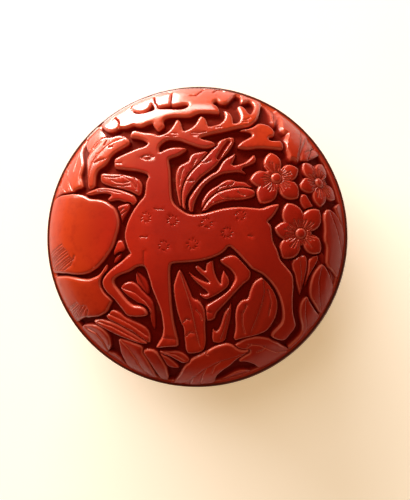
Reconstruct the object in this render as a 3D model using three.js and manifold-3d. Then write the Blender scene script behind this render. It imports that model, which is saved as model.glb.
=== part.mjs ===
// A round box of carved red lacquer, shaped like a steamed bun, in the traditional manner: a picture of a
// deer among peaches, clouds, blossom and leaves is cut into thick lacquer on turned wooden cores.
// The lid drops over an upright collar that stands in the base.
// Millimetres, +Z up, origin at the centre of the foot's resting face.

import * as THREE from 'three';
import { mergeVertices } from 'three/addons/utils/BufferGeometryUtils.js';
import Module from 'manifold-3d';

const wasm = await Module();
wasm.setup();

// Outer form
const bodyRadius = 38;
const lidBandHeight = 2.6;
const baseBandHeight = 2.2;
const rimLedge = 0.45;
const bowlClearance = 3.34;

// Lid dome: a flat crown that rolls over a tighter shoulder, slopes in degrees
const lidCrownRadius = 85;
const lidCrownEdgeShare = 0.764;
const lidEdgeSlope = 74;

// Base bowl, the same two arcs turned upside down
const bowlCrownRadius = 200;
const bowlCrownEdgeShare = 0.59;
const bowlEdgeSlope = 80;

// Layers, from the tops of the carving inward
const reliefDepth = 1.8;
const lacquerGround = 1;
const coreThickness = 2.4;
const liningThickness = 0.5;
const lipThickness = 0.4;
const bondGap = 0.1;

// Border that frames the carving
const borderWidth = 0.5;
const borderDraft = 0.3;

// Collar and the seat of the lid
const seatGap = 0.1;
const collarClearance = 0.3;
const collarThickness = 1.5;
const collarAbove = 3.5;
const collarBelow = 5.5;
const collarHeadroom = 0.5;
const collarChamfer = 0.4;

// Foot
const footRadius = 22;
const footWidth = 3;
const footHeight = 3.1;
const footTaper = 0.4;
const footEdge = 0.3;
const skinGap = 0.4;
const undersideThickness = 0.4;
const undersideGap = 0.2;

// Carving: how deep a motif's root is sunk in the ground, and how far each kind lies below the border
const rootDepth = 0.5;
const figureDrop = 0.05;
const fruitDrop = 0.12;
const cloudDrop = 0.18;
const petalDrop = 0.25;
const farLegDrop = 0.3;
const frontLeafDrop = 0.15;
const middleLeafDrop = 0.35;
const backLeafDrop = 0.6;
const ringLeafDrop = 0.3;
const midribDrop = 0.45;

// Facets of the turned pieces and of the carving; an outline leaves out points that move it less than this
const turnSegments = 36;
const crownSteps = 2;
const shoulderSteps = 3;
const stationMarginShare = 0.25;
const bladeSteps = 4;
const petalSteps = 6;
const facetShare = 0.24;
const slabShare = 0.02;
const outlineSlackShare = 0.009;
const weldShare = 0.001;
const leafRingCount = 16;

// Colours
const redLacquer = { color: 0xb5341f, roughness: 0.35, metalness: 0 };
const blackLacquer = { color: 0x15100e, roughness: 0.2, metalness: 0 };
const turnedWood = { color: 0x9a7448, roughness: 0.7, metalness: 0 };

// The picture in plan: x, y pairs in thousandths of the arc from the lid's centre to the edge of its dome.
// What lies between the two rim shares is drawn in evenly, so that the farthest point meets the border.
const arcParts = 1000;
const rimStartShare = 0.93;
const rimReachShare = 1.04;
const deerShares = [
  -465, 435, -440, 450, -400, 466, -357, 483, -318, 498, -296, 501, -268, 512, -260, 527, -286, 547,
  -325, 560, -378, 567, -363, 620, -298, 597, -227, 588, -196, 571, -166, 580, -140, 594, -120, 620,
  -102, 656, -93, 672, -76, 667, -62, 637, -53, 593, -17, 606, 7, 624, 23, 643, 36, 672, 46, 690, 60, 691,
  79, 675, 90, 648, 96, 622, 130, 628, 165, 640, 190, 666, 196, 697, 187, 727, 198, 732, 222, 720,
  237, 698, 243, 670, 243, 642, 271, 650, 286, 667, 290, 690, 283, 725, 266, 772, 288, 778, 312, 768,
  333, 737, 346, 716, 362, 737, 370, 765, 367, 795, 352, 812, 333, 820, 310, 806, 286, 800, 280, 853,
  290, 885, 322, 905, 360, 900, 393, 870, 404, 810, 407, 762, 400, 707, 383, 673, 343, 632, 302, 621,
  250, 608, 180, 589, 96, 571, 41, 550, 87, 536, 116, 530, 143, 512, 130, 497, 96, 485, 55, 488, 13, 502,
  -28, 520, -70, 538, -112, 545, -145, 543, -170, 526, -190, 505, -194, 478, -185, 462, -155, 482,
  -113, 494, -62, 492, -24, 485, -40, 463, -78, 440, -111, 430, -134, 420, -125, 385, -118, 330, -115, 250,
  -110, 200, -100, 155, -60, 120, -30, 100, 0, 88, 50, 88, 100, 98, 150, 113, 200, 125, 250, 131, 300, 132,
  350, 128, 400, 123, 420, 127, 450, 140, 472, 148, 517, 155, 508, 130, 490, 95, 465, 65, 443, 47, 464, 30,
  470, 0, 474, -60, 488, -90, 505, -124, 516, -171, 558, -219, 594, -260, 598, -325, 594, -391, 597, -478,
  619, -543, 614, -577, 575, -620, 548, -653, 500, -653, 466, -629, 477, -598, 526, -554, 537, -511,
  528, -438, 505, -366, 468, -307, 415, -254, 356, -230, 326, -195, 290, -155, 255, -120, 222, -90,
  200, -122, 163, -147, 120, -163, 58, -180, -22, -187, -100, -190, -120, -203, -117, -350, -111, -469,
  -99, -560, -81, -639, -80, -675, -110, -680, -160, -682, -222, -692, -200, -655, -177, -625, -166, -574,
  -170, -524, -176, -474, -189, -432, -209, -383, -231, -322, -234, -301, -253, -240, -270, -203,
  -317, -207, -354, -236, -428, -256, -466, -290, -416, -360, -352, -434, -295, -437, -262, -460,
  -255, -500, -378, -503, -408, -461, -461, -392, -517, -345, -535, -288, -493, -237, -448, -203,
  -400, -171, -367, -140, -350, -132, -367, -107, -378, -73, -389, -32, -380, 20, -363, 70, -332, 127,
  -300, 170, -270, 200, -264, 249, -263, 289, -243, 328, -300, 352, -400, 368, -449, 377, -462, 387,
];
const farLegShares = [
  174, -165, 209, -148, 245, -141, 286, -159, 330, -205, 350, -235, 347, -283, 309, -312, 273, -347,
  225, -400, 177, -452, 145, -483, 140, -518, 94, -533, 79, -506, 80, -470, 87, -434, 120, -413, 178, -378,
  231, -327, 256, -288, 253, -262, 227, -227, 180, -197, 166, -177,
];
const peachShares = [
  -830, 245, -795, 245, -750, 245, -700, 238, -665, 230, -635, 215, -605, 200, -560, 197, -515, 185,
  -480, 163, -447, 137, -430, 100, -420, 60, -425, 10, -440, -35, -455, -85, -485, -127, -515, -167,
  -555, -207, -605, -237, -650, -250, -710, -250, -775, -245, -850, -230, -900, -225, -940, -210,
  -985, -100, -1000, 0, -985, 100, -940, 190, -870, 225,
];
const secondPeachShares = [
  -860, -250, -790, -255, -710, -265, -655, -275, -615, -277, -580, -265, -545, -250, -520, -215,
  -495, -185, -500, -230, -522, -286, -520, -325, -468, -400, -472, -412, -487, -435, -503, -467,
  -530, -487, -570, -505, -650, -515, -670, -505, -785, -556, -850, -500, -900, -420, -945, -330,
  -960, -260,
];
const cloudShares = [
  -640, 765, -593, 700, -557, 650, -520, 630, -481, 632, -458, 650, -410, 638, -378, 645, -361, 653,
  -326, 637, -300, 636, -273, 650, -237, 660, -233, 637, -209, 607, -196, 600, -180, 618, -164, 630,
  -174, 657, -171, 675, -157, 687, -126, 693, -90, 692, -22, 686, 8, 700, 38, 718, 77, 718, 148, 714,
  162, 714, 160, 745, 140, 775, 117, 790, 138, 822, 165, 797, 202, 793, 230, 830, 247, 875, 270, 905,
  334, 925, 350, 945, 250, 985, 120, 1000, 0, 1005, -120, 1000, -250, 985, -285, 960, -290, 905, -262, 868,
  -275, 865, -327, 900, -330, 945, -370, 940, -480, 890, -570, 830,
];
const cloudSlotShares = [
  [
    -213, 772, -187, 780, -145, 787, -115, 777, -88, 782, -63, 790, -40, 790, -20, 773, -47, 747, -86, 742,
    -137, 750, -213, 755,
  ],
  [
    -390, 777, -370, 750, -352, 738, -300, 735, -252, 745, -235, 760, -250, 795, -265, 810, -265, 787,
    -285, 758, -320, 747, -360, 755,
  ],
];
const anvilCloudShares = [
  268, 600, 316, 609, 350, 617, 373, 634, 395, 655, 430, 657, 473, 642, 497, 605, 490, 575, 460, 565,
  453, 550, 470, 540, 500, 542, 530, 548, 545, 520, 540, 485, 508, 487, 459, 490, 392, 492, 342, 480,
  303, 482, 276, 485, 270, 498, 291, 525, 330, 548, 360, 567, 352, 585, 330, 594,
];
const branchShares = [
  -15, 168, 13, 218, 62, 283, 122, 330, 153, 343, 177, 390, 200, 420, 232, 437, 262, 458, 253, 420,
  232, 375, 303, 393, 333, 413, 370, 455, 383, 412, 358, 390, 285, 362, 330, 325, 280, 342, 232, 336,
  182, 330, 122, 297, 80, 260, 45, 205, 20, 145, 15, 100, -5, 100,
];
const twigShares = [
  -14, -237, 21, -268, 74, -297, 115, -307, 82, -273, 55, -251, 36, -230, 22, -211, 43, -203, 60, -218,
  86, -242, 89, -208, 93, -189, 130, -167, 132, -196, 137, -237, 149, -275, 165, -302, 175, -316,
  175, -283, 184, -252, 192, -233, 204, -256, 221, -280, 223, -307, 211, -331, 187, -350, 153, -373,
  125, -388, 86, -403, 67, -390, 46, -369, 72, -374, 103, -369, 91, -352, 64, -331, 34, -304, 9, -276,
];

// Leaves that lie in front, nearest the top of the lacquer
const frontLeafShares = [
  [
    809, 149, 850, 125, 881, 96, 912, -19, 939, -132, 954, -239, 977, -326, 903, -282, 857, -239,
    821, -177, 803, -117, 821, -79, 790, -64, 793, 27, 795, 88, 786, 125,
  ],
  [
    783, -196, 738, -240, 709, -285, 700, -347, 709, -409, 752, -486, 798, -530, 853, -494, 858, -446,
    836, -357, 819, -287, 798, -225,
  ],
  [
    251, -675, 285, -645, 335, -628, 379, -621, 434, -632, 484, -664, 556, -700, 608, -742, 639, -805,
    613, -827, 565, -860, 489, -834, 441, -841, 395, -812, 357, -785, 285, -776, 312, -752, 354, -726,
    335, -700, 288, -700, 252, -690,
  ],
  [
    -17, -764, 34, -740, 82, -716, 100, -704, 144, -678, 194, -657, 235, -661, 251, -685, 288, -704,
    335, -704, 352, -718, 312, -736, 271, -757, 225, -817, 179, -846, 129, -865, 113, -915, 55, -948,
    24, -910, -7, -872, -12, -821,
  ],
  [
    -486, -613, -446, -654, -383, -663, -318, -683, -312, -740, -283, -785, -237, -831, -211, -888,
    -185, -963, -270, -994, -342, -972, -395, -920, -390, -826, -429, -783, -443, -728, -457, -678,
    -479, -642,
  ],
  [
    -309, -719, -285, -709, -256, -723, -223, -748, -196, -798, -163, -848, -129, -881, -156, -915,
    -199, -918, -215, -881, -249, -826, -287, -785, -307, -745,
  ],
  [
    -206, -706, -148, -711, -91, -704, -51, -723, -19, -759, -29, -783, -60, -793, -88, -774, -137, -742,
    -179, -730,
  ],
  [
    -520, -493, -486, -460, -455, -464, -421, -479, -393, -508, -371, -515, -321, -536, -275, -561,
    -252, -591, -252, -633, -268, -664, -292, -642, -342, -609, -400, -580, -462, -551, -505, -522,
    -530, -510,
  ],
  [
    539, 814, 584, 848, 613, 786, 654, 728, 695, 692, 685, 616, 671, 548, 657, 494, 633, 422, 604, 439,
    582, 429, 575, 476, 556, 510, 565, 554, 582, 608, 548, 615, 532, 656, 527, 723,
  ],
  [
    -627, 258, -637, 359, -656, 446, -645, 489, -625, 536, -585, 579, -541, 594, -493, 582, -460, 594,
    -417, 585, -388, 566, -369, 532, -412, 506, -462, 481, -489, 455, -503, 424, -527, 397, -563, 379,
    -577, 348, -579, 314, -580, 271,
  ],
  [
    -537, 357, -496, 352, -434, 345, -391, 336, -355, 316, -326, 288, -314, 261, -318, 227, -340, 211,
    -371, 227, -419, 242, -472, 268, -542, 292,
  ],
  [
    418, -275, 375, -300, 343, -355, 330, -408, 302, -402, 273, -425, 255, -470, 260, -560, 243, -642,
    270, -650, 322, -628, 385, -620, 437, -604, 477, -565, 510, -500, 503, -415, 475, -325, 445, -285,
  ],
];

// Leaves half covered by those
const middleLeafShares = [
  [
    853, 161, 936, 197, 989, 182, 1011, 112, 1028, 39, 1028, -58, 1016, -161, 973, -215, 929, -132,
    913, -19, 884, 91,
  ],
  [
    694, -390, 661, -415, 647, -448, 656, -529, 668, -606, 699, -664, 752, -657, 795, -608, 841, -558,
    869, -488, 817, -508, 762, -496, 719, -438,
  ],
  [
    589, -173, 615, -184, 666, -139, 671, -187, 666, -266, 656, -324, 640, -373, 627, -319, 609, -256,
    594, -209,
  ],
  [
    -96, -991, -43, -910, 30, -904, 51, -948, 43, -997, 3, -1028, -50, -1028,
  ],
  [
    -173, -960, -112, -874, -64, -826, -8, -775, 12, -816, 20, -857, -18, -912, -93, -975, -142, -1020,
  ],
  [
    -700, -548, -639, -554, -582, -575, -541, -604, -510, -645, -527, -690, -601, -697, -654, -670,
    -687, -625, -704, -585,
  ],
  [
    -609, -527, -551, -518, -515, -529, -462, -553, -397, -584, -333, -613, -287, -640, -280, -657,
    -314, -654, -379, -633, -441, -615, -500, -592, -544, -568, -587, -548,
  ],
  [
    716, 687, 736, 652, 791, 633, 838, 597, 826, 532, 771, 491, 721, 448, 683, 426, 651, 426, 659, 477,
    675, 549, 688, 618,
  ],
  [
    -893, 240, -968, 324, -934, 409, -888, 498, -829, 591, -772, 661, -764, 676, -697, 575, -704, 536,
    -694, 482, -678, 429, -680, 381, -688, 348, -664, 300, -661, 273, -714, 270, -736, 252, -812, 244,
  ],
  [
    -652, 235, -618, 249, -573, 266, -532, 268, -472, 254, -410, 233, -352, 216, -306, 192, -297, 177,
    -331, 170, -378, 187, -438, 199, -482, 215, -518, 194, -566, 201, -609, 221,
  ],
  [
    -50, 125, -78, 155, -90, 200, -92, 270, -90, 340, -58, 378, -10, 422, 6, 445, 40, 458, 115, 468,
    112, 447, 75, 415, 30, 375, -5, 335, -35, 270, -48, 200, -45, 150,
  ],
  [
    60, 105, 80, 148, 122, 190, 170, 222, 232, 240, 280, 247, 328, 240, 365, 222, 388, 212, 365, 198,
    328, 185, 280, 178, 213, 175, 152, 162, 110, 142, 80, 108,
  ],
  [
    -63, -230, -85, -270, -102, -333, -92, -410, -80, -480, -62, -530, 0, -550, 20, -450, -5, -370,
    -25, -310, -45, -250,
  ],
  [
    20, -400, 0, -450, -30, -500, -62, -545, -60, -580, -45, -630, -40, -712, 30, -720, 60, -705, 90, -567,
    82, -482, 70, -435, 42, -405,
  ],
  [
    237, -425, 190, -470, 157, -580, 120, -567, 108, -655, 190, -648, 222, -560, 237, -470,
  ],
  [
    -427, -343, -405, -307, -358, -290, -318, -308, -276, -360, -227, -405, -215, -460, -215, -588,
    -240, -540, -245, -465, -300, -430, -363, -388,
  ],
];

// Leaves at the back, cut lowest
const backLeafShares = [
  [
    846, 585, 886, 525, 924, 455, 946, 407, 910, 433, 869, 479, 819, 496,
  ],
  [
    815, -209, 858, -244, 918, -295, 970, -345, 939, -422, 879, -457, 848, -419, 829, -299,
  ],
  [
    561, -663, 594, -625, 628, -599, 664, -599, 697, -671, 645, -700, 594, -723,
  ],
  [
    735, -134, 694, -156, 687, -192, 683, -261, 711, -230, 736, -191, 748, -161,
  ],
  [
    55, -970, 149, -929, 247, -901, 347, -876, 446, -869, 419, -894, 366, -936, 297, -978, 213, -1008,
    134, -1020,
  ],
  [
    125, -925, 165, -865, 208, -836, 294, -833, 439, -862, 347, -872, 247, -893, 170, -905,
  ],
  [
    -711, -637, -668, -690, -591, -714, -496, -694, -450, -673, -441, -718, -436, -772, -446, -839,
    -505, -831, -566, -793, -644, -766, -706, -719,
  ],
  [
    -203, -714, -170, -735, -130, -767, -84, -819, -101, -826, -161, -814, -175, -783, -192, -743,
  ],
  [
    431, 846, 479, 912, 518, 889, 539, 836, 522, 728, 503, 654, 477, 673, 464, 724, 446, 788,
  ],
  [
    -678, 546, -678, 589, -657, 651, -663, 742, -645, 786, -603, 743, -575, 673, -546, 618, -546, 594,
    -578, 573, -627, 541, -645, 493,
  ],
  [
    -46, 110, -56, 203, -43, 273, -13, 340, 23, 381, 68, 422, 104, 453, 130, 480, 147, 510, 170, 535,
    205, 550, 247, 557, 248, 535, 233, 498, 192, 437, 163, 415, 135, 380, 80, 330, 32, 270, -5, 215,
    -18, 160, -10, 105,
  ],
  [
    62, 140, 66, 170, 87, 217, 122, 248, 165, 278, 207, 295, 255, 292, 303, 280, 340, 255, 360, 235,
    280, 230, 200, 215, 130, 180, 90, 130,
  ],
];

// Small leaves as blades: root x, root y, tip x, tip y, half width, and bend to the left of the length
const bladeShares = [
  [-415, 35, -365, 165, 35, 0],
  [-450, -160, -410, -40, 25, 0],
  [655, 145, 660, 210, 20, 0],
  [700, 150, 760, 60, 45, 0],
  [560, -80, 600, -190, 40, 0],
  [-250, -370, -320, -235, 30, 0],
  [740, -120, 800, -220, 40, 0],
];

// Blossoms: centre, then the turn in degrees and the reach of each petal
const blossomShares = [
  { centre: [780, 305], petals: [[135, 165], [88, 130], [185, 160], [268, 150], [340, 130]] },
  { centre: [498, 308], petals: [[105, 150], [16, 135], [316, 165], [235, 165], [180, 175]] },
  { centre: [642, -15], petals: [[112, 185], [48, 155], [170, 158], [226, 172], [325, 155]] },
];

// A petal: its root, its width, the straight and round parts of its length, and the notch in its end
const petalRootShare = 0.2;
const petalWidthShare = 0.42;
const petalStemShare = 0.55;
const petalRoundShare = 0.45;
const petalNotchShare = 0.06;
const petalNotchWidthShare = 0.25;
const buttonShare = 0.031;

// A blade: the power that moves its widest place towards the tip, and the width of its ends
const bladeSwellShare = 0.85;
const bladeTipShare = 0.12;
const middleShare = 0.5;

// Ring of slanted leaves round the base: its start and end, lean in radians, half width and bend
const ringLeaf = { rootShare: 600, tipShare: 965, lean: 0.2, halfWidthShare: 125, bendShare: 100 };

// A dome of two arcs: angle 0 is the middle, and the offset is measured along the surface's normal
function makeDome({ edgeRadius, edgeHeight, edgeSlope, crownRadius, crownEdge, up }) {
  const edgeAngle = THREE.MathUtils.degToRad(edgeSlope);
  const crownAngle = Math.asin(crownEdge / crownRadius);
  const shoulderRadius = (edgeRadius - crownEdge) / (Math.sin(edgeAngle) - Math.sin(crownAngle));
  const shoulderCentre = crownEdge - shoulderRadius * Math.sin(crownAngle);
  const shoulderLevel = -shoulderRadius * Math.cos(edgeAngle);
  const crownLevel = shoulderLevel + (shoulderRadius - crownRadius) * Math.cos(crownAngle);
  const crownArc = crownRadius * crownAngle;
  const arcLength = crownArc + shoulderRadius * (edgeAngle - crownAngle);

  function point(angle, offset = 0) {
    const onCrown = angle <= crownAngle;
    const radius = (onCrown ? crownRadius : shoulderRadius) + offset;
    const reach = (onCrown ? 0 : shoulderCentre) + radius * Math.sin(angle);
    const rise = (onCrown ? crownLevel : shoulderLevel) + radius * Math.cos(angle);
    return new THREE.Vector2(reach, edgeHeight + up * rise);
  }

  function angleAtShare(share) {
    const arc = share * arcLength;
    return arc < crownArc ? arc / crownRadius : crownAngle + (arc - crownArc) / shoulderRadius;
  }

  function angleAtRadius(reach, offset) {
    const crownReach = (crownRadius + offset) * Math.sin(crownAngle);
    if (reach <= crownReach) return Math.asin(reach / (crownRadius + offset));
    return Math.asin((reach - shoulderCentre) / (shoulderRadius + offset));
  }

  function angleAtHeight(height, offset) {
    const rise = up * (height - edgeHeight) - shoulderLevel;
    return Math.acos(rise / (shoulderRadius + offset));
  }

  // Points along the surface between two angles, with the change of arc always among them
  function run(from, to, offset) {
    const crownStations = Array.from({ length: crownSteps + 1 }, (_, i) => (crownAngle * i) / crownSteps);
    const shoulderSpan = edgeAngle - crownAngle;
    const shoulderStations = Array.from(
      { length: shoulderSteps },
      (_, i) => crownAngle + (shoulderSpan * (i + 1)) / shoulderSteps,
    );
    const low = Math.min(from, to);
    const high = Math.max(from, to);
    const margin = (shoulderSpan / shoulderSteps) * stationMarginShare;
    const inside = [...crownStations, ...shoulderStations].filter(
      (angle) => angle > low + (low > 0 ? margin : 0) && angle < high - margin,
    );
    const angles = [low, ...inside, high];
    if (to < from) angles.reverse();
    return angles.map((angle) => point(angle, offset));
  }

  return { edgeAngle, shoulderRadius, edgeHeight, point, angleAtShare, angleAtRadius, angleAtHeight, run };
}

// A closed body from places and faces, its faces turned outward
function facing(places, faces) {
  const enclosed = faces.reduce((sum, [p, q, r]) => {
    const normal = new THREE.Vector3().crossVectors(places[q], places[r]);
    return sum + places[p].dot(normal);
  }, 0);
  const outward = enclosed > 0 ? faces : faces.map(([p, q, r]) => [p, r, q]);
  const geometry = new THREE.BufferGeometry().setFromPoints(places);
  geometry.setIndex(outward.flat());
  return geometry;
}

function placesOf(geometry) {
  const places = geometry.attributes.position;
  return Array.from({ length: places.count }, (_, i) => new THREE.Vector3().fromBufferAttribute(places, i));
}

function facesOf(geometry) {
  const corners = Array.from(geometry.index.array);
  return Array.from({ length: corners.length / 3 }, (_, i) => corners.slice(3 * i, 3 * i + 3));
}

// A closed body with its corners merged by place and its flat slivers left out
function closedBody(source) {
  const bare = source.clone();
  for (const name of Object.keys(bare.attributes)) {
    if (name !== 'position') bare.deleteAttribute(name);
  }
  const merged = mergeVertices(bare, weldDistance);
  const faces = facesOf(merged).filter((face) => new Set(face).size === 3);
  return facing(placesOf(merged), faces);
}

function turned(profile) {
  const lathe = new THREE.LatheGeometry(profile, turnSegments);
  lathe.rotateX(Math.PI / 2);
  return closedBody(lathe);
}

function toSolid(geometry) {
  const body = new wasm.Mesh({
    numProp: 3,
    vertProperties: new Float32Array(geometry.attributes.position.array),
    triVerts: new Uint32Array(geometry.index.array),
  });
  return new wasm.Manifold(body);
}

function toGeometry(solid) {
  const body = solid.getMesh();
  const geometry = new THREE.BufferGeometry();
  const places = new Float32Array(body.numVert * 3);
  for (let i = 0; i < body.numVert; i++) {
    for (let k = 0; k < 3; k++) places[i * 3 + k] = body.vertProperties[i * body.numProp + k];
  }
  geometry.setAttribute('position', new THREE.BufferAttribute(places, 3));
  geometry.setIndex(Array.from(body.triVerts));
  return geometry;
}

// Shared levels, worked out from the sizes above
const origin = new THREE.Vector2();
const weldDistance = bondGap * weldShare;
const edgeRadius = bodyRadius - rimLedge;
const skinInner = -(reliefDepth + lacquerGround);
const coreOuter = skinInner - bondGap;
const coreInner = coreOuter - coreThickness;
const liningOuter = coreInner - bondGap;
const liningInner = liningOuter - liningThickness;

const bowlAtOrigin = makeDome({
  edgeRadius,
  edgeHeight: 0,
  edgeSlope: bowlEdgeSlope,
  crownRadius: bowlCrownRadius,
  crownEdge: edgeRadius * bowlCrownEdgeShare,
  up: -1,
});
const bowlDepth = -bowlAtOrigin.point(0).y;
const baseBandBottom = bowlClearance + bowlDepth;
const jointHeight = baseBandBottom + baseBandHeight;
const lidMouth = jointHeight + seatGap;
const lidBandTop = jointHeight + lidBandHeight;

const bowl = makeDome({
  edgeRadius,
  edgeHeight: baseBandBottom,
  edgeSlope: bowlEdgeSlope,
  crownRadius: bowlCrownRadius,
  crownEdge: edgeRadius * bowlCrownEdgeShare,
  up: -1,
});
const dome = makeDome({
  edgeRadius,
  edgeHeight: lidBandTop,
  edgeSlope: lidEdgeSlope,
  crownRadius: lidCrownRadius,
  crownEdge: edgeRadius * lidCrownEdgeShare,
  up: 1,
});

// Radii of the mouth, from the lid's wall inward to the collar and out again to the base's wall
const lidSkinRadius = dome.point(dome.edgeAngle, skinInner).x;
const lidCoreRadius = lidSkinRadius - bondGap;
const lidCoreBore = lidCoreRadius - coreThickness;
const lidLiningRadius = lidCoreBore - bondGap;
const lidLiningBore = lidLiningRadius - liningThickness;
const collarRadius = lidLiningBore - collarClearance;
const collarBore = collarRadius - collarThickness;
const baseLiningBore = collarRadius + bondGap;
const baseLiningRadius = baseLiningBore + liningThickness;
const baseCoreBore = baseLiningRadius + bondGap;
const baseSkinRadius = bowl.point(bowl.edgeAngle, skinInner).x;
const baseCoreRadius = baseSkinRadius - bondGap;

// Heights of the collar, its ledge in the base and its rebate in the lid
const collarTop = jointHeight + collarAbove;
const collarBottom = jointHeight - collarBelow;
const rebateTop = collarTop + collarHeadroom;
const ledgeTop = collarBottom - bondGap;
const bossBottom = footHeight + bondGap;
const skinInnerEdge = footRadius + skinGap;

function at(radius, height) {
  return new THREE.Vector2(radius, height);
}

// The border's inner foot, its top and the ledge out to the plain band
function borderPoints(form) {
  const topAngle = form.edgeAngle - borderWidth / form.shoulderRadius;
  const footAngle = topAngle - borderDraft / form.shoulderRadius;
  return { footAngle, top: [form.point(topAngle), form.point(form.edgeAngle)] };
}

// Lid: lacquer skin before carving
function lidSkinShell() {
  const border = borderPoints(dome);
  return turned([
    ...dome.run(0, border.footAngle, -reliefDepth),
    ...border.top,
    at(bodyRadius, lidBandTop),
    at(bodyRadius, lidMouth),
    at(lidSkinRadius, lidMouth),
    ...dome.run(dome.edgeAngle, 0, skinInner),
  ]);
}

function lidCore() {
  const rebateHeight = rebateTop + liningThickness + bondGap;
  const mouth = lidMouth + lipThickness + bondGap;
  return turned([
    ...dome.run(0, dome.edgeAngle, coreOuter),
    at(lidCoreRadius, mouth),
    at(lidCoreBore, mouth),
    at(lidCoreBore, rebateHeight),
    ...dome.run(dome.angleAtHeight(rebateHeight, coreInner), 0, coreInner),
  ]);
}

function lidLining() {
  const rebateHeight = rebateTop + liningThickness;
  return turned([
    ...dome.run(0, dome.angleAtHeight(rebateHeight, liningOuter), liningOuter),
    at(lidLiningRadius, rebateHeight),
    at(lidLiningRadius, lidMouth + lipThickness),
    at(lidCoreRadius, lidMouth + lipThickness),
    at(lidCoreRadius, lidMouth),
    at(lidLiningBore, lidMouth),
    at(lidLiningBore, rebateTop),
    ...dome.run(dome.angleAtHeight(rebateTop, liningInner), 0, liningInner),
  ]);
}

// Base: lacquer skin before carving, a ring that ends in a narrow border round the foot
function baseSkinShell() {
  const border = borderPoints(bowl);
  const innerTop = bowl.angleAtRadius(skinInnerEdge + borderWidth, 0);
  const innerFoot = bowl.angleAtRadius(skinInnerEdge + borderWidth + borderDraft, -reliefDepth);
  const start = bowl.point(bowl.angleAtRadius(skinInnerEdge, 0));
  return turned([
    start,
    bowl.point(innerTop),
    ...bowl.run(innerFoot, border.footAngle, -reliefDepth),
    ...border.top,
    at(bodyRadius, baseBandBottom),
    at(bodyRadius, jointHeight),
    at(baseSkinRadius, jointHeight),
    ...bowl.run(bowl.edgeAngle, bowl.angleAtRadius(skinInnerEdge, skinInner), skinInner),
    start.clone(),
  ]);
}

function baseCore() {
  const ledgeHeight = ledgeTop - liningThickness - bondGap;
  const mouth = jointHeight - lipThickness - bondGap;
  return turned([
    at(0, bossBottom),
    at(footRadius, bossBottom),
    ...bowl.run(bowl.angleAtRadius(footRadius, coreOuter), bowl.edgeAngle, coreOuter),
    at(baseCoreRadius, mouth),
    at(baseCoreBore, mouth),
    at(baseCoreBore, ledgeHeight),
    ...bowl.run(bowl.angleAtHeight(ledgeHeight, coreInner), 0, coreInner),
  ]);
}

function baseLining() {
  const ledgeHeight = ledgeTop - liningThickness;
  return turned([
    ...bowl.run(0, bowl.angleAtHeight(ledgeHeight, liningOuter), liningOuter),
    at(baseLiningRadius, ledgeHeight),
    at(baseLiningRadius, jointHeight - lipThickness),
    at(baseCoreRadius, jointHeight - lipThickness),
    at(baseCoreRadius, jointHeight),
    at(baseLiningBore, jointHeight),
    at(baseLiningBore, ledgeTop),
    ...bowl.run(bowl.angleAtHeight(ledgeTop, liningInner), 0, liningInner),
  ]);
}

function baseCollar() {
  const start = at(collarBore, collarBottom);
  return turned([
    start,
    at(collarRadius, collarBottom),
    at(collarRadius, collarTop - collarChamfer),
    at(collarRadius - collarChamfer, collarTop),
    at(collarBore + collarChamfer, collarTop),
    at(collarBore, collarTop - collarChamfer),
    start.clone(),
  ]);
}

function footRing() {
  const footBore = footRadius - footWidth;
  const start = at(footBore, footHeight);
  return turned([
    start,
    at(footBore, footEdge),
    at(footBore + footEdge, 0),
    at(footRadius - footTaper - footEdge, 0),
    at(footRadius - footTaper, footEdge),
    at(footRadius, footHeight),
    start.clone(),
  ]);
}

function baseUnderside() {
  const radius = footRadius - footWidth - undersideGap;
  const top = bossBottom - bondGap;
  return turned([
    at(0, top - undersideThickness),
    at(radius, top - undersideThickness),
    at(radius, top),
    at(0, top),
  ]);
}

// Carving: points from a list of x, y pairs
function pointsOf(list) {
  const pairs = Array.from({ length: list.length / 2 }, (_, i) => [list[2 * i], list[2 * i + 1]]);
  return pairs.map(([x, y]) => new THREE.Vector2(x, y).divideScalar(arcParts));
}

// An open line without the points that lie close to the chord of what is left
function slackened(points) {
  const first = points[0];
  const last = points[points.length - 1];
  const chord = last.clone().sub(first);
  const gaps = points.map((point) => {
    const away = point.clone().sub(first);
    const along = THREE.MathUtils.clamp(away.dot(chord) / Math.max(chord.lengthSq(), Number.EPSILON), 0, 1);
    return away.addScaledVector(chord, -along).length();
  });
  const widest = Math.max(...gaps);
  if (widest <= outlineSlackShare) return [first, last];
  const k = gaps.indexOf(widest);
  return [...slackened(points.slice(0, k + 1)), ...slackened(points.slice(k)).slice(1)];
}

// A closed outline with only the points that its shape needs
function outlineOf(list) {
  const points = pointsOf(list);
  const half = Math.floor(points.length / 2);
  const there = slackened(points.slice(0, half + 1));
  const back = slackened([...points.slice(half), points[0]]);
  return [...there, ...back.slice(1, -1)];
}

// A plan point laid on the dome, drawn in where it lies near the rim
function laidOn(form, { x, y }, offset) {
  const edgeShare = 1 - borderWidth / 2 / (form.shoulderRadius * form.edgeAngle);
  const away = Math.hypot(x, y);
  const over = Math.max(0, away - rimStartShare) / (rimReachShare - rimStartShare);
  const share = Math.min(away, rimStartShare) + over * (edgeShare - rimStartShare);
  const turn = Math.atan2(y, x);
  const spot = form.point(form.angleAtShare(share), offset);
  return new THREE.Vector3(spot.x * Math.cos(turn), spot.x * Math.sin(turn), spot.y);
}

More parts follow.
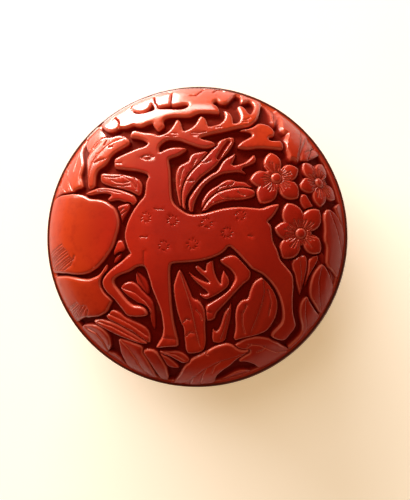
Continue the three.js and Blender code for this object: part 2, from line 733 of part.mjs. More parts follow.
// Splits long edges at their middles, alike from both sides, so that flat faces can bend over the form
function splitLongEdges(places, faces) {
  const middles = new Map();
  function middleOf(p, q) {
    const key = `${Math.min(p, q)}_${Math.max(p, q)}`;
    if (!middles.has(key)) {
      middles.set(key, places.length);
      places.push(places[p].clone().add(places[q]).divideScalar(2));
    }
    return middles.get(key);
  }
  const done = [];
  const waiting = [...faces];
  while (waiting.length > 0) {
    const face = waiting.pop();
    const lengths = face.map((p, k) => places[p].distanceTo(places[face[(k + 1) % 3]]));
    const side = lengths.indexOf(Math.max(...lengths));
    if (lengths[side] <= facetShare) {
      done.push(face);
      continue;
    }
    const [p, q, r] = [face[side], face[(side + 1) % 3], face[(side + 2) % 3]];
    const middle = middleOf(p, q);
    waiting.push([p, middle, r], [middle, q, r]);
  }
  return done;
}

// An outline raised from the ground to its own level, as one closed body wrapped over the form
function raised(form, outline, drop) {
  const slab = closedBody(
    new THREE.ExtrudeGeometry(new THREE.Shape(outline), { depth: slabShare, bevelEnabled: false }),
  );
  const places = placesOf(slab);
  const split = splitLongEdges(places, facesOf(slab));
  const root = -(reliefDepth + rootDepth);
  const wrapped = places.map((place) => laidOn(form, place, place.z > slabShare / 2 ? -drop : root));
  return toSolid(facing(wrapped, split));
}

// A leaf blade along a bent spine, widest past its middle, with a sunk midrib
function blade(form, list, drop) {
  const [rootX, rootY, tipX, tipY, halfWidth, bend] = list.map((value) => value / arcParts);
  const root = new THREE.Vector2(rootX, rootY);
  const tip = new THREE.Vector2(tipX, tipY);
  const along = tip.clone().sub(root);
  const left = new THREE.Vector2(-along.y, along.x);
  const middle = root.clone().lerp(tip, middleShare).addScaledVector(left, bend);
  const spine = new THREE.QuadraticBezierCurve(root, middle, tip);
  const sunk = -(reliefDepth + rootDepth);
  const rings = [];
  for (let i = 0; i <= bladeSteps; i++) {
    const t = i / bladeSteps;
    const spot = spine.getPoint(t);
    const heading = spine.getTangent(t);
    const across = new THREE.Vector2(-heading.y, heading.x);
    const swell = Math.sin(Math.PI * Math.pow(t, bladeSwellShare));
    const width = halfWidth * Math.max(swell, bladeTipShare);
    const leftEdge = spot.clone().addScaledVector(across, width);
    const rightEdge = spot.clone().addScaledVector(across, -width);
    const rib = drop + midribDrop * Math.min(1, swell + bladeTipShare);
    rings.push([
      laidOn(form, leftEdge, sunk),
      laidOn(form, leftEdge, -drop),
      laidOn(form, spot, -rib),
      laidOn(form, rightEdge, -drop),
      laidOn(form, rightEdge, sunk),
    ]);
  }
  return toSolid(loft(rings));
}

// Closed body through rings of equal length
function loft(rings) {
  const count = rings[0].length;
  const faces = [];
  for (let i = 0; i + 1 < rings.length; i++) {
    for (let k = 0; k < count; k++) {
      const here = i * count + k;
      const next = i * count + ((k + 1) % count);
      faces.push([here, next, next + count], [here, next + count, here + count]);
    }
  }
  const last = (rings.length - 1) * count;
  for (let k = 1; k + 1 < count; k++) {
    faces.push([0, k + 1, k], [last, last + k, last + k + 1]);
  }
  return facing(rings.flat(), faces);
}

// A petal: narrow at its root, round at its end with a small notch
function petalOutline(centre, turnDegrees, reach) {
  const turn = THREE.MathUtils.degToRad(turnDegrees);
  const rootWidth = petalRootShare * petalWidthShare;
  const points = [new THREE.Vector2(petalRootShare, -rootWidth)];
  for (let i = 0; i <= petalSteps; i++) {
    const sweep = (i / petalSteps) * 2 - 1;
    const round = Math.sqrt(1 - sweep * sweep);
    const notch = petalNotchShare * Math.max(0, 1 - Math.abs(sweep) / petalNotchWidthShare);
    const out = petalStemShare + petalRoundShare * round - notch;
    points.push(new THREE.Vector2(out, petalWidthShare * Math.sin((sweep * Math.PI) / 2)));
  }
  points.push(new THREE.Vector2(petalRootShare, rootWidth));
  return points.map((point) => point.multiplyScalar(reach).rotateAround(origin, turn).add(centre));
}

function discOutline(centre, radius) {
  return Array.from({ length: petalSteps }, (_, i) => {
    const turn = (2 * Math.PI * i) / petalSteps;
    return new THREE.Vector2(radius, 0).rotateAround(origin, turn).add(centre);
  });
}

function blossom({ centre, petals }) {
  const middle = new THREE.Vector2(...centre).divideScalar(arcParts);
  const laid = petals.map(([turn, reach]) => petalOutline(middle, turn, reach / arcParts));
  return [
    ...laid.map((outline) => raised(dome, outline, petalDrop)),
    raised(dome, discOutline(middle, buttonShare), figureDrop),
  ];
}

function clouds() {
  const slots = cloudSlotShares.map((list) => raised(dome, outlineOf(list), -cloudDrop));
  const bank = raised(dome, outlineOf(cloudShares), cloudDrop);
  return [
    slots.reduce((cloud, slot) => cloud.subtract(slot), bank),
    raised(dome, outlineOf(anvilCloudShares), cloudDrop),
  ];
}

function lidCarving() {
  return [
    raised(dome, outlineOf(deerShares), figureDrop),
    raised(dome, outlineOf(farLegShares), farLegDrop),
    raised(dome, outlineOf(peachShares), fruitDrop),
    raised(dome, outlineOf(secondPeachShares), farLegDrop),
    raised(dome, outlineOf(branchShares), middleLeafDrop),
    raised(dome, outlineOf(twigShares), middleLeafDrop),
    ...clouds(),
    ...frontLeafShares.map((list) => raised(dome, outlineOf(list), frontLeafDrop)),
    ...middleLeafShares.map((list) => raised(dome, outlineOf(list), middleLeafDrop)),
    ...backLeafShares.map((list) => raised(dome, outlineOf(list), backLeafDrop)),
    ...bladeShares.map((list) => blade(dome, list, backLeafDrop)),
    ...blossomShares.flatMap(blossom),
  ];
}

function baseCarving() {
  const { rootShare, tipShare, lean, halfWidthShare, bendShare } = ringLeaf;
  return Array.from({ length: leafRingCount }, (_, i) => {
    const turn = (2 * Math.PI * i) / leafRingCount;
    const root = new THREE.Vector2(rootShare, 0).rotateAround(origin, turn);
    const tip = new THREE.Vector2(tipShare, 0).rotateAround(origin, turn + lean);
    return blade(bowl, [...root.toArray(), ...tip.toArray(), halfWidthShare, bendShare], ringLeafDrop);
  });
}

function carved(shell, motifs) {
  return toGeometry(motifs.reduce((body, motif) => body.add(motif), toSolid(shell)));
}

// The box, node by node
const box = new THREE.Group();

function addNode(name, geometry, finish) {
  const mesh = new THREE.Mesh(geometry, new THREE.MeshStandardMaterial(finish));
  mesh.name = name;
  box.add(mesh);
}

addNode('lid_carved_lacquer', carved(lidSkinShell(), lidCarving()), redLacquer);
addNode('lid_core', lidCore(), turnedWood);
addNode('lid_lining', lidLining(), blackLacquer);
addNode('base_carved_lacquer', carved(baseSkinShell(), baseCarving()), redLacquer);
addNode('base_core', baseCore(), turnedWood);
addNode('base_lining', baseLining(), blackLacquer);
addNode('base_collar', baseCollar(), blackLacquer);
addNode('foot_ring', footRing(), blackLacquer);
addNode('base_underside', baseUnderside(), blackLacquer);

export default box;
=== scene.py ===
import math
import bpy
import numpy as np
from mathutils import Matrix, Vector


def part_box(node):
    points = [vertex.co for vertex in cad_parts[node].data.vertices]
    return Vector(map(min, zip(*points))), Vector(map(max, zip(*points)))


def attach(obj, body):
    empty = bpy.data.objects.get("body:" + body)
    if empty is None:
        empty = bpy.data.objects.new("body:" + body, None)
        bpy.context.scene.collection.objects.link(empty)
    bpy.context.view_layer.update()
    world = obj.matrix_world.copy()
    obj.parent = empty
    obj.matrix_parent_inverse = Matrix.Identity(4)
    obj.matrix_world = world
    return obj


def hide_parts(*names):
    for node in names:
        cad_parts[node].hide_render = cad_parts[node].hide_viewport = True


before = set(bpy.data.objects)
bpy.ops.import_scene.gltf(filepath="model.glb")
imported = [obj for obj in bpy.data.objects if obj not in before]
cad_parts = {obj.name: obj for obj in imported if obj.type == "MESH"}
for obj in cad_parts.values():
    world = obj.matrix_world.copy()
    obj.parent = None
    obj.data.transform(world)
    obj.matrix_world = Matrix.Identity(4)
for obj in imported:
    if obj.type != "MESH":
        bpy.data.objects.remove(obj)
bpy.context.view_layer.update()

# Everything below is in millimetres until a mesh is made, and in shares of a dome's arc in plan
metres = 0.001
planScale = 1000  # the plan's outlines are written in thousandths
nearNothing, thinnest = 1e-6, 1e-4  # keep sums from dividing by nothing
layers = {
    "rimLedge": 0.45, "reliefDepth": 1.8, "ground": 1.0, "core": 2.4, "lining": 0.5, "lip": 0.4,
    "bond": 0.1, "lidBand": 2.6, "baseBand": 2.2, "bandRound": 0.22,
}
domeSizes = {"crownRadius": 85.0, "crownEdgeShare": 0.764, "edgeSlope": 74.0}
bowlSizes = {"crownRadius": 200.0, "crownEdgeShare": 0.59, "edgeSlope": 80.0}


def boxOf(node):
    return [[value / metres for value in corner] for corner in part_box(node)]


bodyRadius = boxOf("lid_carved_lacquer")[1][0]
lidMouth = boxOf("lid_carved_lacquer")[0][2]
jointHeight = boxOf("base_carved_lacquer")[1][2]
edgeRadius = bodyRadius - layers["rimLedge"]
lidBandTop = jointHeight + layers["lidBand"]
baseBandBottom = jointHeight - layers["baseBand"]
skinInside = -(layers["reliefDepth"] + layers["ground"])  # the skin's inner face, from the uncut dome


class Dome:
    # Two arcs, a flat crown and a tight shoulder, as in the solids; angle 0 is the middle
    def __init__(self, sizes, edgeHeight, up):
        self.crown, self.up, self.edgeHeight = sizes["crownRadius"], up, edgeHeight
        self.edgeAngle = math.radians(sizes["edgeSlope"])
        crownEdge = edgeRadius * sizes["crownEdgeShare"]
        self.crownAngle = math.asin(crownEdge / self.crown)
        self.shoulder = (edgeRadius - crownEdge) / (math.sin(self.edgeAngle) - math.sin(self.crownAngle))
        self.centre = crownEdge - self.shoulder * math.sin(self.crownAngle)
        self.level = -self.shoulder * math.cos(self.edgeAngle)
        self.crownLevel = self.level + (self.shoulder - self.crown) * math.cos(self.crownAngle)
        self.crownArc = self.crown * self.crownAngle
        self.arc = self.crownArc + self.shoulder * (self.edgeAngle - self.crownAngle)

    def at(self, angle, offset):
        # The distance from the axis and the height of a place that lies an offset out from the dome
        angle = np.asarray(angle, float)
        flat = angle <= self.crownAngle
        radius = np.where(flat, self.crown, self.shoulder) + offset
        reach = np.where(flat, 0.0, self.centre) + radius * np.sin(angle)
        rise = np.where(flat, self.crownLevel, self.level) + radius * np.cos(angle)
        return reach, self.edgeHeight + self.up * rise

    def arcAt(self, angle):
        # The length of the arc from the middle to an angle
        onShoulder = self.crownArc + (angle - self.crownAngle) * self.shoulder
        return np.where(angle < self.crownAngle, angle * self.crown, onShoulder)

    def angleAt(self, share):
        # The angle at a share of the whole arc
        arc = np.asarray(share, float) * self.arc
        onShoulder = self.crownAngle + (arc - self.crownArc) / self.shoulder
        return np.where(arc < self.crownArc, arc / self.crown, onShoulder)

    def angleAtRadius(self, reach, offset):
        flatReach = (self.crown + offset) * math.sin(self.crownAngle)
        if reach <= flatReach:
            return math.asin(reach / (self.crown + offset))
        return math.asin((reach - self.centre) / (self.shoulder + offset))

    def angleAtHeight(self, height, offset):
        rise = self.up * (height - self.edgeHeight) - self.level
        return math.acos(rise / (self.shoulder + offset))

    def run(self, start, end, offset, steps=24):
        reach, height = self.at(np.linspace(start, end, steps), offset)
        return list(zip(reach.tolist(), height.tolist()))


dome = Dome(domeSizes, lidBandTop, 1)
bowl = Dome(bowlSizes, baseBandBottom, -1)
print("stage: sizes read from the frame")


# The picture's outlines in thousandths of the dome's arc, x to the right and y up the picture
deer = [
    -465, 435, -440, 450, -400, 466, -357, 483, -318, 498, -296, 501, -268, 512, -260, 527, -286, 547,
    -325, 560, -378, 567, -363, 620, -298, 597, -227, 588, -196, 571, -166, 580, -140, 594, -120, 620,
    -102, 656, -93, 672, -76, 667, -62, 637, -53, 593, -17, 606, 7, 624, 23, 643, 36, 672, 46, 690,
    60, 691, 79, 675, 90, 648, 96, 622, 130, 628, 165, 640, 190, 666, 196, 697, 187, 727, 198, 732,
    222, 720, 237, 698, 243, 670, 243, 642, 271, 650, 286, 667, 290, 690, 283, 725, 266, 772, 288, 778,
    312, 768, 333, 737, 346, 716, 362, 737, 370, 765, 367, 795, 352, 812, 333, 820, 310, 806, 286, 800,
    280, 853, 290, 885, 322, 905, 360, 900, 393, 870, 404, 810, 407, 762, 400, 707, 383, 673, 343, 632,
    302, 621, 250, 608, 180, 589, 96, 571, 41, 550, 87, 536, 116, 530, 143, 512, 130, 497, 96, 485,
    55, 488, 13, 502, -28, 520, -70, 538, -112, 545, -145, 543, -170, 526, -190, 505, -194, 478, -185, 462,
    -155, 482, -113, 494, -62, 492, -24, 485, -40, 463, -78, 440, -111, 430, -134, 420, -125, 385,
    -118, 330, -115, 250, -110, 200, -100, 155, -60, 120, -30, 100, 0, 88, 50, 88, 100, 98, 150, 113,
    200, 125, 250, 131, 300, 132, 350, 128, 400, 123, 420, 127, 450, 140, 472, 148, 517, 155, 508, 130,
    490, 95, 465, 65, 443, 47, 464, 30, 470, 0, 474, -60, 488, -90, 505, -124, 516, -171, 558, -219,
    594, -260, 598, -325, 594, -391, 597, -478, 619, -543, 614, -577, 575, -620, 548, -653, 500, -653,
    466, -629, 477, -598, 526, -554, 537, -511, 528, -438, 505, -366, 468, -307, 415, -254, 356, -230,
    326, -195, 290, -155, 255, -120, 222, -90, 200, -122, 163, -147, 120, -163, 58, -180, -22, -187,
    -100, -190, -120, -203, -117, -350, -111, -469, -99, -560, -81, -639, -80, -675, -110, -680,
    -160, -682, -222, -692, -200, -655, -177, -625, -166, -574, -170, -524, -176, -474, -189, -432,
    -209, -383, -231, -322, -234, -301, -253, -240, -270, -203, -317, -207, -354, -236, -428, -256,
    -466, -290, -416, -360, -352, -434, -295, -437, -262, -460, -255, -500, -378, -503, -408, -461,
    -461, -392, -517, -345, -535, -288, -493, -237, -448, -203, -400, -171, -367, -140, -350, -132,
    -367, -107, -378, -73, -389, -32, -380, 20, -363, 70, -332, 127, -300, 170, -270, 200, -264, 249,
    -263, 289, -243, 328, -300, 352, -400, 368, -449, 377, -462, 387,
]
farLeg = [
    174, -165, 209, -148, 245, -141, 286, -159, 330, -205, 350, -235, 347, -283, 309, -312, 273, -347,
    225, -400, 177, -452, 145, -483, 140, -518, 94, -533, 79, -506, 80, -470, 87, -434, 120, -413,
    178, -378, 231, -327, 256, -288, 253, -262, 227, -227, 180, -197, 166, -177,
]
peach = [
    -830, 245, -795, 245, -750, 245, -700, 238, -665, 230, -635, 215, -605, 200, -560, 197, -515, 185,
    -480, 163, -447, 137, -430, 100, -420, 60, -425, 10, -440, -35, -455, -85, -485, -127, -515, -167,
    -555, -207, -605, -237, -650, -250, -710, -250, -775, -245, -850, -230, -900, -225, -940, -210,
    -985, -100, -1000, 0, -985, 100, -940, 190, -870, 225,
]
secondPeach = [
    -860, -250, -790, -255, -710, -265, -655, -275, -615, -277, -580, -265, -545, -250, -520, -215,
    -495, -185, -500, -230, -535, -288, -527, -325, -468, -400, -472, -412, -487, -435, -503, -467,
    -530, -487, -570, -505, -650, -515, -670, -505, -785, -556, -850, -500, -900, -420, -945, -330,
    -960, -260,
]
mainCloud = [
    -640, 765, -593, 700, -557, 650, -520, 630, -481, 632, -458, 650, -410, 638, -378, 645, -361, 653,
    -326, 637, -300, 636, -273, 650, -237, 660, -233, 637, -209, 607, -196, 600, -180, 618, -164, 630,
    -174, 657, -171, 675, -157, 687, -126, 693, -90, 692, -22, 686, 8, 700, 38, 718, 77, 718, 148, 714,
    162, 714, 160, 745, 140, 775, 117, 790, 138, 822, 165, 797, 202, 793, 230, 830, 247, 875, 270, 905,
    334, 925, 350, 945, 250, 985, 120, 1000, 0, 1005, -120, 1000, -250, 985, -285, 960, -290, 905,
    -262, 868, -275, 865, -327, 900, -330, 945, -370, 940, -480, 890, -570, 830,
]
cloudSlots = [
    [-213, 772, -187, 780, -145, 787, -115, 777, -88, 782, -63, 790, -40, 790, -20, 773, -47, 747,
     -86, 742, -137, 750, -213, 755],
    [-390, 777, -370, 750, -352, 738, -300, 735, -252, 745, -235, 760, -250, 795, -265, 810, -265, 787,
     -285, 758, -320, 747, -360, 755],
]
anvilCloud = [
    268, 600, 316, 609, 350, 617, 373, 634, 395, 655, 430, 657, 473, 642, 497, 605, 490, 575, 460, 565,
    453, 550, 470, 540, 500, 542, 530, 548, 545, 520, 540, 485, 508, 487, 459, 490, 392, 492, 342, 480,
    303, 482, 276, 485, 270, 498, 291, 525, 330, 548, 360, 567, 352, 585, 330, 594,
]
branch = [
    -15, 168, 13, 218, 62, 283, 122, 330, 153, 343, 177, 390, 200, 420, 232, 437, 262, 458, 253, 420,
    232, 375, 303, 393, 333, 413, 370, 455, 383, 412, 358, 390, 285, 362, 330, 325, 280, 342, 232, 336,
    182, 330, 122, 297, 80, 260, 45, 205, 20, 145, 15, 100, -5, 100,
]
twig = [
    -14, -237, 21, -268, 74, -297, 115, -307, 82, -273, 55, -251, 36, -230, 22, -211, 43, -203, 60, -218,
    86, -242, 89, -208, 93, -189, 130, -167, 132, -196, 137, -237, 149, -275, 165, -302, 175, -316,
    175, -283, 184, -252, 192, -233, 204, -256, 221, -280, 223, -307, 211, -331, 187, -350, 153, -373,
    125, -388, 86, -403, 67, -390, 46, -369, 72, -374, 103, -369, 91, -352, 64, -331, 34, -304, 9, -276,
]

# Leaves from the back to the front: how far each lies below the dome, its outline, and where it has them
# its midrib, the ticks cut in it, a scoop, and how wide its wall is in mm
drawnLeaves = [
    {"drop": 0.6, "edge": [846, 585, 886, 525, 924, 455, 946, 407, 910, 433, 869, 479, 819, 496]},
    {"drop": 0.6, "edge": [850, 457, 929, 445, 958, 378, 984, 304, 1003, 233, 1015, 175, 956, 204,
      918, 259, 884, 324, 855, 393],
     "rib": [880, 430, 930, 330, 975, 230]},
    {"drop": 0.3, "edge": [848, 168, 941, 196, 1015, 168, 1025, 84, 1028, 2, 1025, -89, 1013, -182,
      996, -261, 977, -326, 960, -373, 963, -304, 948, -180, 944, -74, 908, 29, 870, 110],
     "rib": [906, 160, 961, 74, 997, -41, 1011, -184]},
    {"drop": 0.7, "edge": [815, -209, 858, -244, 918, -295, 970, -345, 939, -422, 879, -457, 848, -419,
      829, -299],
     "rib": [835, -240, 890, -330, 885, -430]},
    {"drop": 0.15, "edge": [817, 148, 863, 110, 900, 27, 934, -65, 939, -161, 946, -271, 944, -333,
      882, -285, 838, -235, 803, -203, 807, -142, 810, -88, 790, -53, 797, 19, 788, 93],
     "rib": [826, 124, 865, 7, 900, -142, 918, -288]},
    {"drop": 0.3, "edge": [924, -324, 979, -312, 972, -342, 951, -393, 930, -441, 888, -469, 858, -419,
      876, -386, 913, -352]},
    {"drop": 0.2, "edge": [692, -388, 657, -410, 644, -446, 644, -503, 656, -579, 642, -620, 597, -663,
      560, -694, 606, -728, 680, -719, 759, -694, 809, -637, 853, -577, 889, -517, 848, -453, 802, -486,
      769, -515, 738, -481, 707, -426],
     "rib": [680, -424, 676, -500, 680, -584, 649, -652, 601, -709],
     "ticks": [[748, -525, 718, -570, 695, -609], [831, -530, 783, -596, 723, -642]]},
    {"drop": 0.12, "edge": [776, -194, 740, -227, 716, -261, 700, -323, 704, -386, 731, -441, 766, -494,
      803, -477, 846, -460, 845, -393, 829, -287, 802, -211],
     "rib": [774, -227, 759, -302, 757, -383, 764, -470]},
    {"drop": 0.45, "edge": [685, -175, 723, -144, 752, -132, 757, -170, 731, -213, 709, -245, 685, -288,
      670, -343, 675, -276, 683, -223]},
    {"drop": 0.35, "edge": [582, -180, 635, -149, 676, -144, 682, -215, 668, -285, 651, -348, 644, -397,
      618, -321, 596, -251],
     "rib": [635, -163, 647, -251, 642, -374]},
    {"drop": 0.45, "edge": [118, -925, 182, -876, 264, -833, 318, -831, 400, -874, 481, -881, 412, -932,
      319, -961, 228, -977, 163, -1015, 93, -1025, 51, -1011],
     "rib": [84, -991, 192, -917, 311, -879, 426, -889]},
    {"drop": 0.2, "edge": [242, -676, 282, -651, 331, -630, 379, -623, 441, -635, 494, -659, 556, -694,
      616, -752, 632, -812, 596, -839, 542, -845, 464, -836, 417, -838, 367, -795, 314, -779, 268, -785,
      302, -750, 343, -733, 342, -711, 292, -704],
     "rib": [331, -668, 402, -682, 491, -718, 603, -771],
     "ticks": [[350, -673, 326, -687, 311, -704], [434, -695, 414, -714, 383, -723]]},
    {"drop": 0.05, "edge": [345, -711, 302, -712, 263, -697, 242, -673, 208, -657, 168, -664, 130, -678,
      89, -702, 45, -728, -7, -755, -45, -798, -79, -841, -122, -894, -167, -963, -165, -1016, -93, -978,
      -41, -1006, 15, -1028, 50, -975, 81, -953, 113, -906, 129, -862, 172, -829, 221, -802, 263, -769,
      302, -748],
     "rib": [323, -726, 242, -752, 153, -779, 60, -827, -15, -874, -82, -949],
     "ticks": [[76, -821, 48, -858, 29, -906], [161, -781, 127, -807, 105, -846], [-9, -865, -27, -898,
      -38, -946], [89, -702, 79, -723, 94, -731]]},
    {"drop": 0.5, "edge": [-695, -645, -632, -700, -546, -716, -464, -740, -436, -815, -431, -910,
      -488, -906, -572, -843, -649, -745]},
    {"drop": 0.3, "edge": [-702, -554, -642, -549, -582, -566, -537, -599, -512, -637, -510, -695,
      -558, -723, -621, -723, -673, -688, -704, -639, -716, -596],
     "rib": [-659, -572, -601, -603, -560, -651, -539, -700]},
    {"drop": 0.22, "edge": [-455, -639, -410, -645, -345, -664, -297, -683, -306, -723, -275, -788,
      -242, -851, -237, -927, -362, -963, -405, -896, -412, -798, -445, -736, -453, -687],
     "rib": [-434, -652, -390, -704, -348, -769, -307, -863]},
    {"drop": 0.15, "edge": [-306, -712, -263, -692, -220, -706, -191, -748, -167, -805, -158, -886,
      -203, -881, -244, -821, -282, -762]},
    {"drop": 0.45, "edge": [-203, -714, -170, -735, -130, -767, -84, -819, -101, -826, -161, -814,
      -175, -783, -192, -743]},
    {"drop": 0.2, "edge": [-206, -706, -148, -711, -91, -704, -51, -723, -19, -759, -29, -783, -60, -793,
      -88, -774, -137, -742, -179, -730],
     "rib": [-170, -715, -100, -730, -50, -765]},
    {"drop": 0.25, "edge": [-522, -505, -498, -476, -474, -457, -433, -472, -391, -506, -350, -524,
      -302, -544, -261, -572, -245, -613, -252, -663, -287, -645, -340, -608, -403, -573, -467, -542],
     "rib": [-493, -486, -421, -517, -352, -554, -271, -613]},
    {"drop": 0.12, "edge": [-618, -530, -556, -518, -503, -529, -451, -546, -397, -575, -347, -604,
      -307, -632, -259, -664, -316, -664, -388, -640, -453, -618, -518, -589, -580, -560],
     "rib": [-575, -536, -484, -560, -391, -606, -316, -647]},
    {"drop": 0.6, "wall": 1.3, "edge": [431, 846, 479, 912, 518, 889, 539, 836, 522, 728, 503, 654,
      477, 673, 464, 724, 446, 788],
     "rib": [480, 880, 500, 800, 490, 700]},
    {"drop": 0.4, "edge": [716, 687, 736, 652, 791, 633, 838, 597, 826, 532, 771, 491, 721, 448, 683, 426,
      651, 426, 659, 477, 675, 549, 688, 618],
     "rib": [725, 660, 740, 560, 700, 450],
     "ticks": [[680, 488, 714, 510, 752, 541]]},
    {"drop": 0.5, "edge": [632, 209, 675, 225, 699, 184, 730, 137, 692, 117, 656, 132, 637, 168]},
    {"drop": 0.5, "edge": [903, 488, 934, 434, 966, 355, 989, 287, 1004, 227, 960, 204, 917, 256, 889, 326,
      863, 385]},
    {"drop": 0.15, "wall": 1.5, "edge": [539, 814, 584, 848, 613, 786, 654, 728, 695, 692, 685, 616,
      671, 548, 657, 494, 633, 422, 604, 439, 582, 429, 575, 476, 556, 510, 565, 554, 582, 608, 548, 615,
      532, 656, 527, 723],
     "rib": [560, 778, 599, 694, 649, 645, 651, 566, 632, 451]},
    {"drop": 0.5, "edge": [-678, 546, -678, 589, -657, 651, -663, 742, -645, 786, -603, 743, -575, 673,
      -546, 618, -546, 594, -585, 579, -627, 541, -645, 493]},
    {"drop": 0.3, "edge": [-893, 240, -968, 324, -934, 409, -888, 498, -829, 591, -772, 661, -764, 676,
      -697, 575, -704, 536, -694, 482, -678, 429, -680, 381, -688, 348, -664, 300, -661, 273, -714, 270,
      -736, 252, -812, 244],
     "rib": [-769, 275, -791, 366, -809, 469, -774, 544, -740, 609],
     "ticks": [[-905, 335, -870, 330, -840, 305], [-880, 375, -850, 365]]},
    {"drop": 0.12, "edge": [-627, 258, -637, 359, -656, 446, -645, 489, -625, 536, -585, 579, -541, 594,
      -493, 582, -460, 594, -417, 585, -388, 566, -369, 532, -412, 506, -462, 481, -489, 455, -503, 424,
      -527, 397, -563, 379, -577, 348, -579, 314, -580, 271],
     "rib": [-621, 297, -621, 366, -609, 426, -575, 476, -529, 517, -481, 546, -407, 568],
     "ticks": [[-609, 522, -580, 558], [-539, 534, -522, 565], [-592, 424, -563, 433, -522, 441],
      [-505, 513, -477, 518]]},
    {"drop": 0.3, "edge": [-652, 230, -603, 254, -544, 268, -486, 261, -424, 247, -371, 228, -326, 206,
      -311, 161, -343, 151, -397, 175, -431, 187, -474, 180, -513, 173, -493, 197, -470, 220, -512, 232,
      -556, 232, -601, 223],
     "ticks": [[-560, 250, -490, 246, -420, 226]]},
    {"drop": 0.55, "edge": [-443, 146, -403, 160, -361, 167, -354, 142, -376, 106, -395, 77, -410, 41,
      -424, 79, -436, 117],
     "ticks": [[-429, 110, -395, 136], [-419, 92, -379, 122]]},
    {"drop": 0.6, "edge": [-445, -53, -407, -50, -376, -88, -391, -112, -427, -124, -457, -146,
      -460, -110]},
    {"drop": 0.9, "edge": [-465, -184, -450, -146, -407, -120, -415, -160, -446, -192]},
    {"drop": 0.2, "edge": [-542, 355, -489, 347, -429, 342, -371, 330, -324, 314, -300, 299, -285, 270,
      -287, 235, -300, 204, -321, 216, -355, 235, -403, 251, -450, 263, -498, 278, -541, 297, -548, 330],
     "ticks": [[-518, 330, -470, 321, -422, 326], [-472, 307, -451, 294, -403, 283, -364, 292], [-457, 275,
      -403, 264, -361, 271], [-417, 333, -381, 314, -345, 283, -324, 254], [-331, 306, -316, 271,
      -319, 237]]},
    {"drop": 0.2, "edge": [419, -270, 388, -285, 366, -300, 342, -348, 331, -400, 300, -403, 278, -422,
      261, -451, 254, -498, 258, -570, 240, -647, 299, -632, 379, -616, 439, -594, 470, -554, 496, -501,
      506, -431, 489, -366, 455, -307],
     "rib": [421, -295, 426, -361, 412, -424, 385, -500, 350, -582],
     "ticks": [[324, -434, 297, -488, 297, -546, 311, -599], [446, -348, 464, -419, 450, -494]]},
    {"drop": 0.3, "edge": [-50, 101, -70, 173, -86, 252, -89, 319, -82, 359, -64, 383, -31, 398, -14, 409,
      -5, 439, 14, 455, 50, 462, 76, 467, 101, 464, 76, 436, 45, 391, 15, 338, -9, 278, -24, 218,
      -31, 153],
     "ticks": [[-62, 258, -62, 288, -55, 331, -43, 362], [12, 371, 19, 398, 31, 417]]},
    {"drop": 0.2, "edge": [-36, 89, -48, 148, -50, 213, -41, 259, -26, 299, 3, 342, 38, 378, 69, 412,
      98, 446, 127, 484, 146, 512, 172, 537, 204, 551, 244, 556, 252, 541, 245, 512, 225, 474, 192, 433,
      160, 395, 129, 361, 89, 330, 51, 300, 21, 261, -2, 225, -14, 185, -9, 146, 9, 101],
     "ticks": [[60, 393, 86, 395, 115, 409], [-26, 288, -3, 282, 19, 287]],
     "scoop": [160, 425, 176, 458, 196, 494, 218, 526]},
    {"drop": 0.45, "edge": [64, 120, 65, 160, 79, 191, 101, 223, 129, 244, 155, 258, 187, 283, 213, 295,
      244, 295, 264, 285, 290, 283, 316, 280, 335, 264, 361, 249, 328, 239, 276, 239, 225, 230, 173, 218,
      136, 191, 110, 165, 86, 132],
     "ticks": [[146, 223, 173, 251, 203, 258], [213, 251, 239, 264, 249, 276]]},
    {"drop": 0.25, "edge": [60, 94, 76, 127, 94, 158, 124, 191, 155, 215, 187, 228, 232, 240, 276, 247,
      321, 245, 361, 235, 386, 213, 361, 192, 328, 182, 290, 175, 244, 173, 213, 170, 175, 160, 136, 146,
      105, 125, 79, 103],
     "ticks": [[160, 211, 180, 191, 203, 177, 251, 175], [273, 220, 292, 204, 312, 199]]},
    {"drop": 0.25, "edge": [-65, -221, -89, -282, -103, -333, -93, -415, -77, -491, -60, -542, -46, -566,
      -43, -639, -38, -718, -2, -726, 64, -711, 82, -657, 79, -561, 82, -508, 76, -450, 48, -407, 12, -398,
      -3, -357, -26, -300, -48, -247],
     "rib": [-55, -254, -27, -345, 0, -438, 14, -508, 26, -579, 46, -670],
     "ticks": [[-48, -532, -26, -513, -7, -520], [-34, -615, -10, -591, 14, -597], [29, -462, 51, -486,
      62, -520]]},
    {"drop": 0.35, "edge": [232, -419, 220, -446, 194, -472, 184, -503, 172, -544, 156, -580, 139, -589,
      122, -565, 115, -649, 146, -661, 194, -652, 209, -587, 230, -510, 235, -457],
     "rib": [223, -464, 204, -522, 189, -585, 170, -633]},
    {"drop": 0.4, "edge": [-427, -343, -405, -307, -358, -290, -318, -308, -276, -360, -227, -405,
      -215, -460, -215, -588, -240, -540, -245, -465, -300, -430, -363, -388],
     "rib": [-400, -335, -330, -360, -270, -410, -235, -460, -228, -550]},
]

# Leaf blades: root x and y, tip x and y, half width, bend to the left, and how far they lie below the dome
blades = [
    [560, -80, 600, -190, 40, 0, 0.8],
    [-250, -370, -320, -235, 30, 0, 0.5],
    [740, -120, 800, -220, 40, 0, 0.8],
]

# Blossoms: centre, then the turn in degrees and the reach of each petal
blossoms = [
    {"centre": [778, 304], "drop": 0.3,
     "petals": [[133, 159], [71, 157], [199, 151], [266, 158], [326, 158]]},
    {"centre": [498, 309], "drop": 0.1,
     "petals": [[103, 160], [25, 150], [318, 175], [238, 180], [185, 155]]},
    {"centre": [640, -17], "drop": 0.1,
     "petals": [[114, 195], [50, 189], [170, 157], [233, 184], [319, 170]]},
]

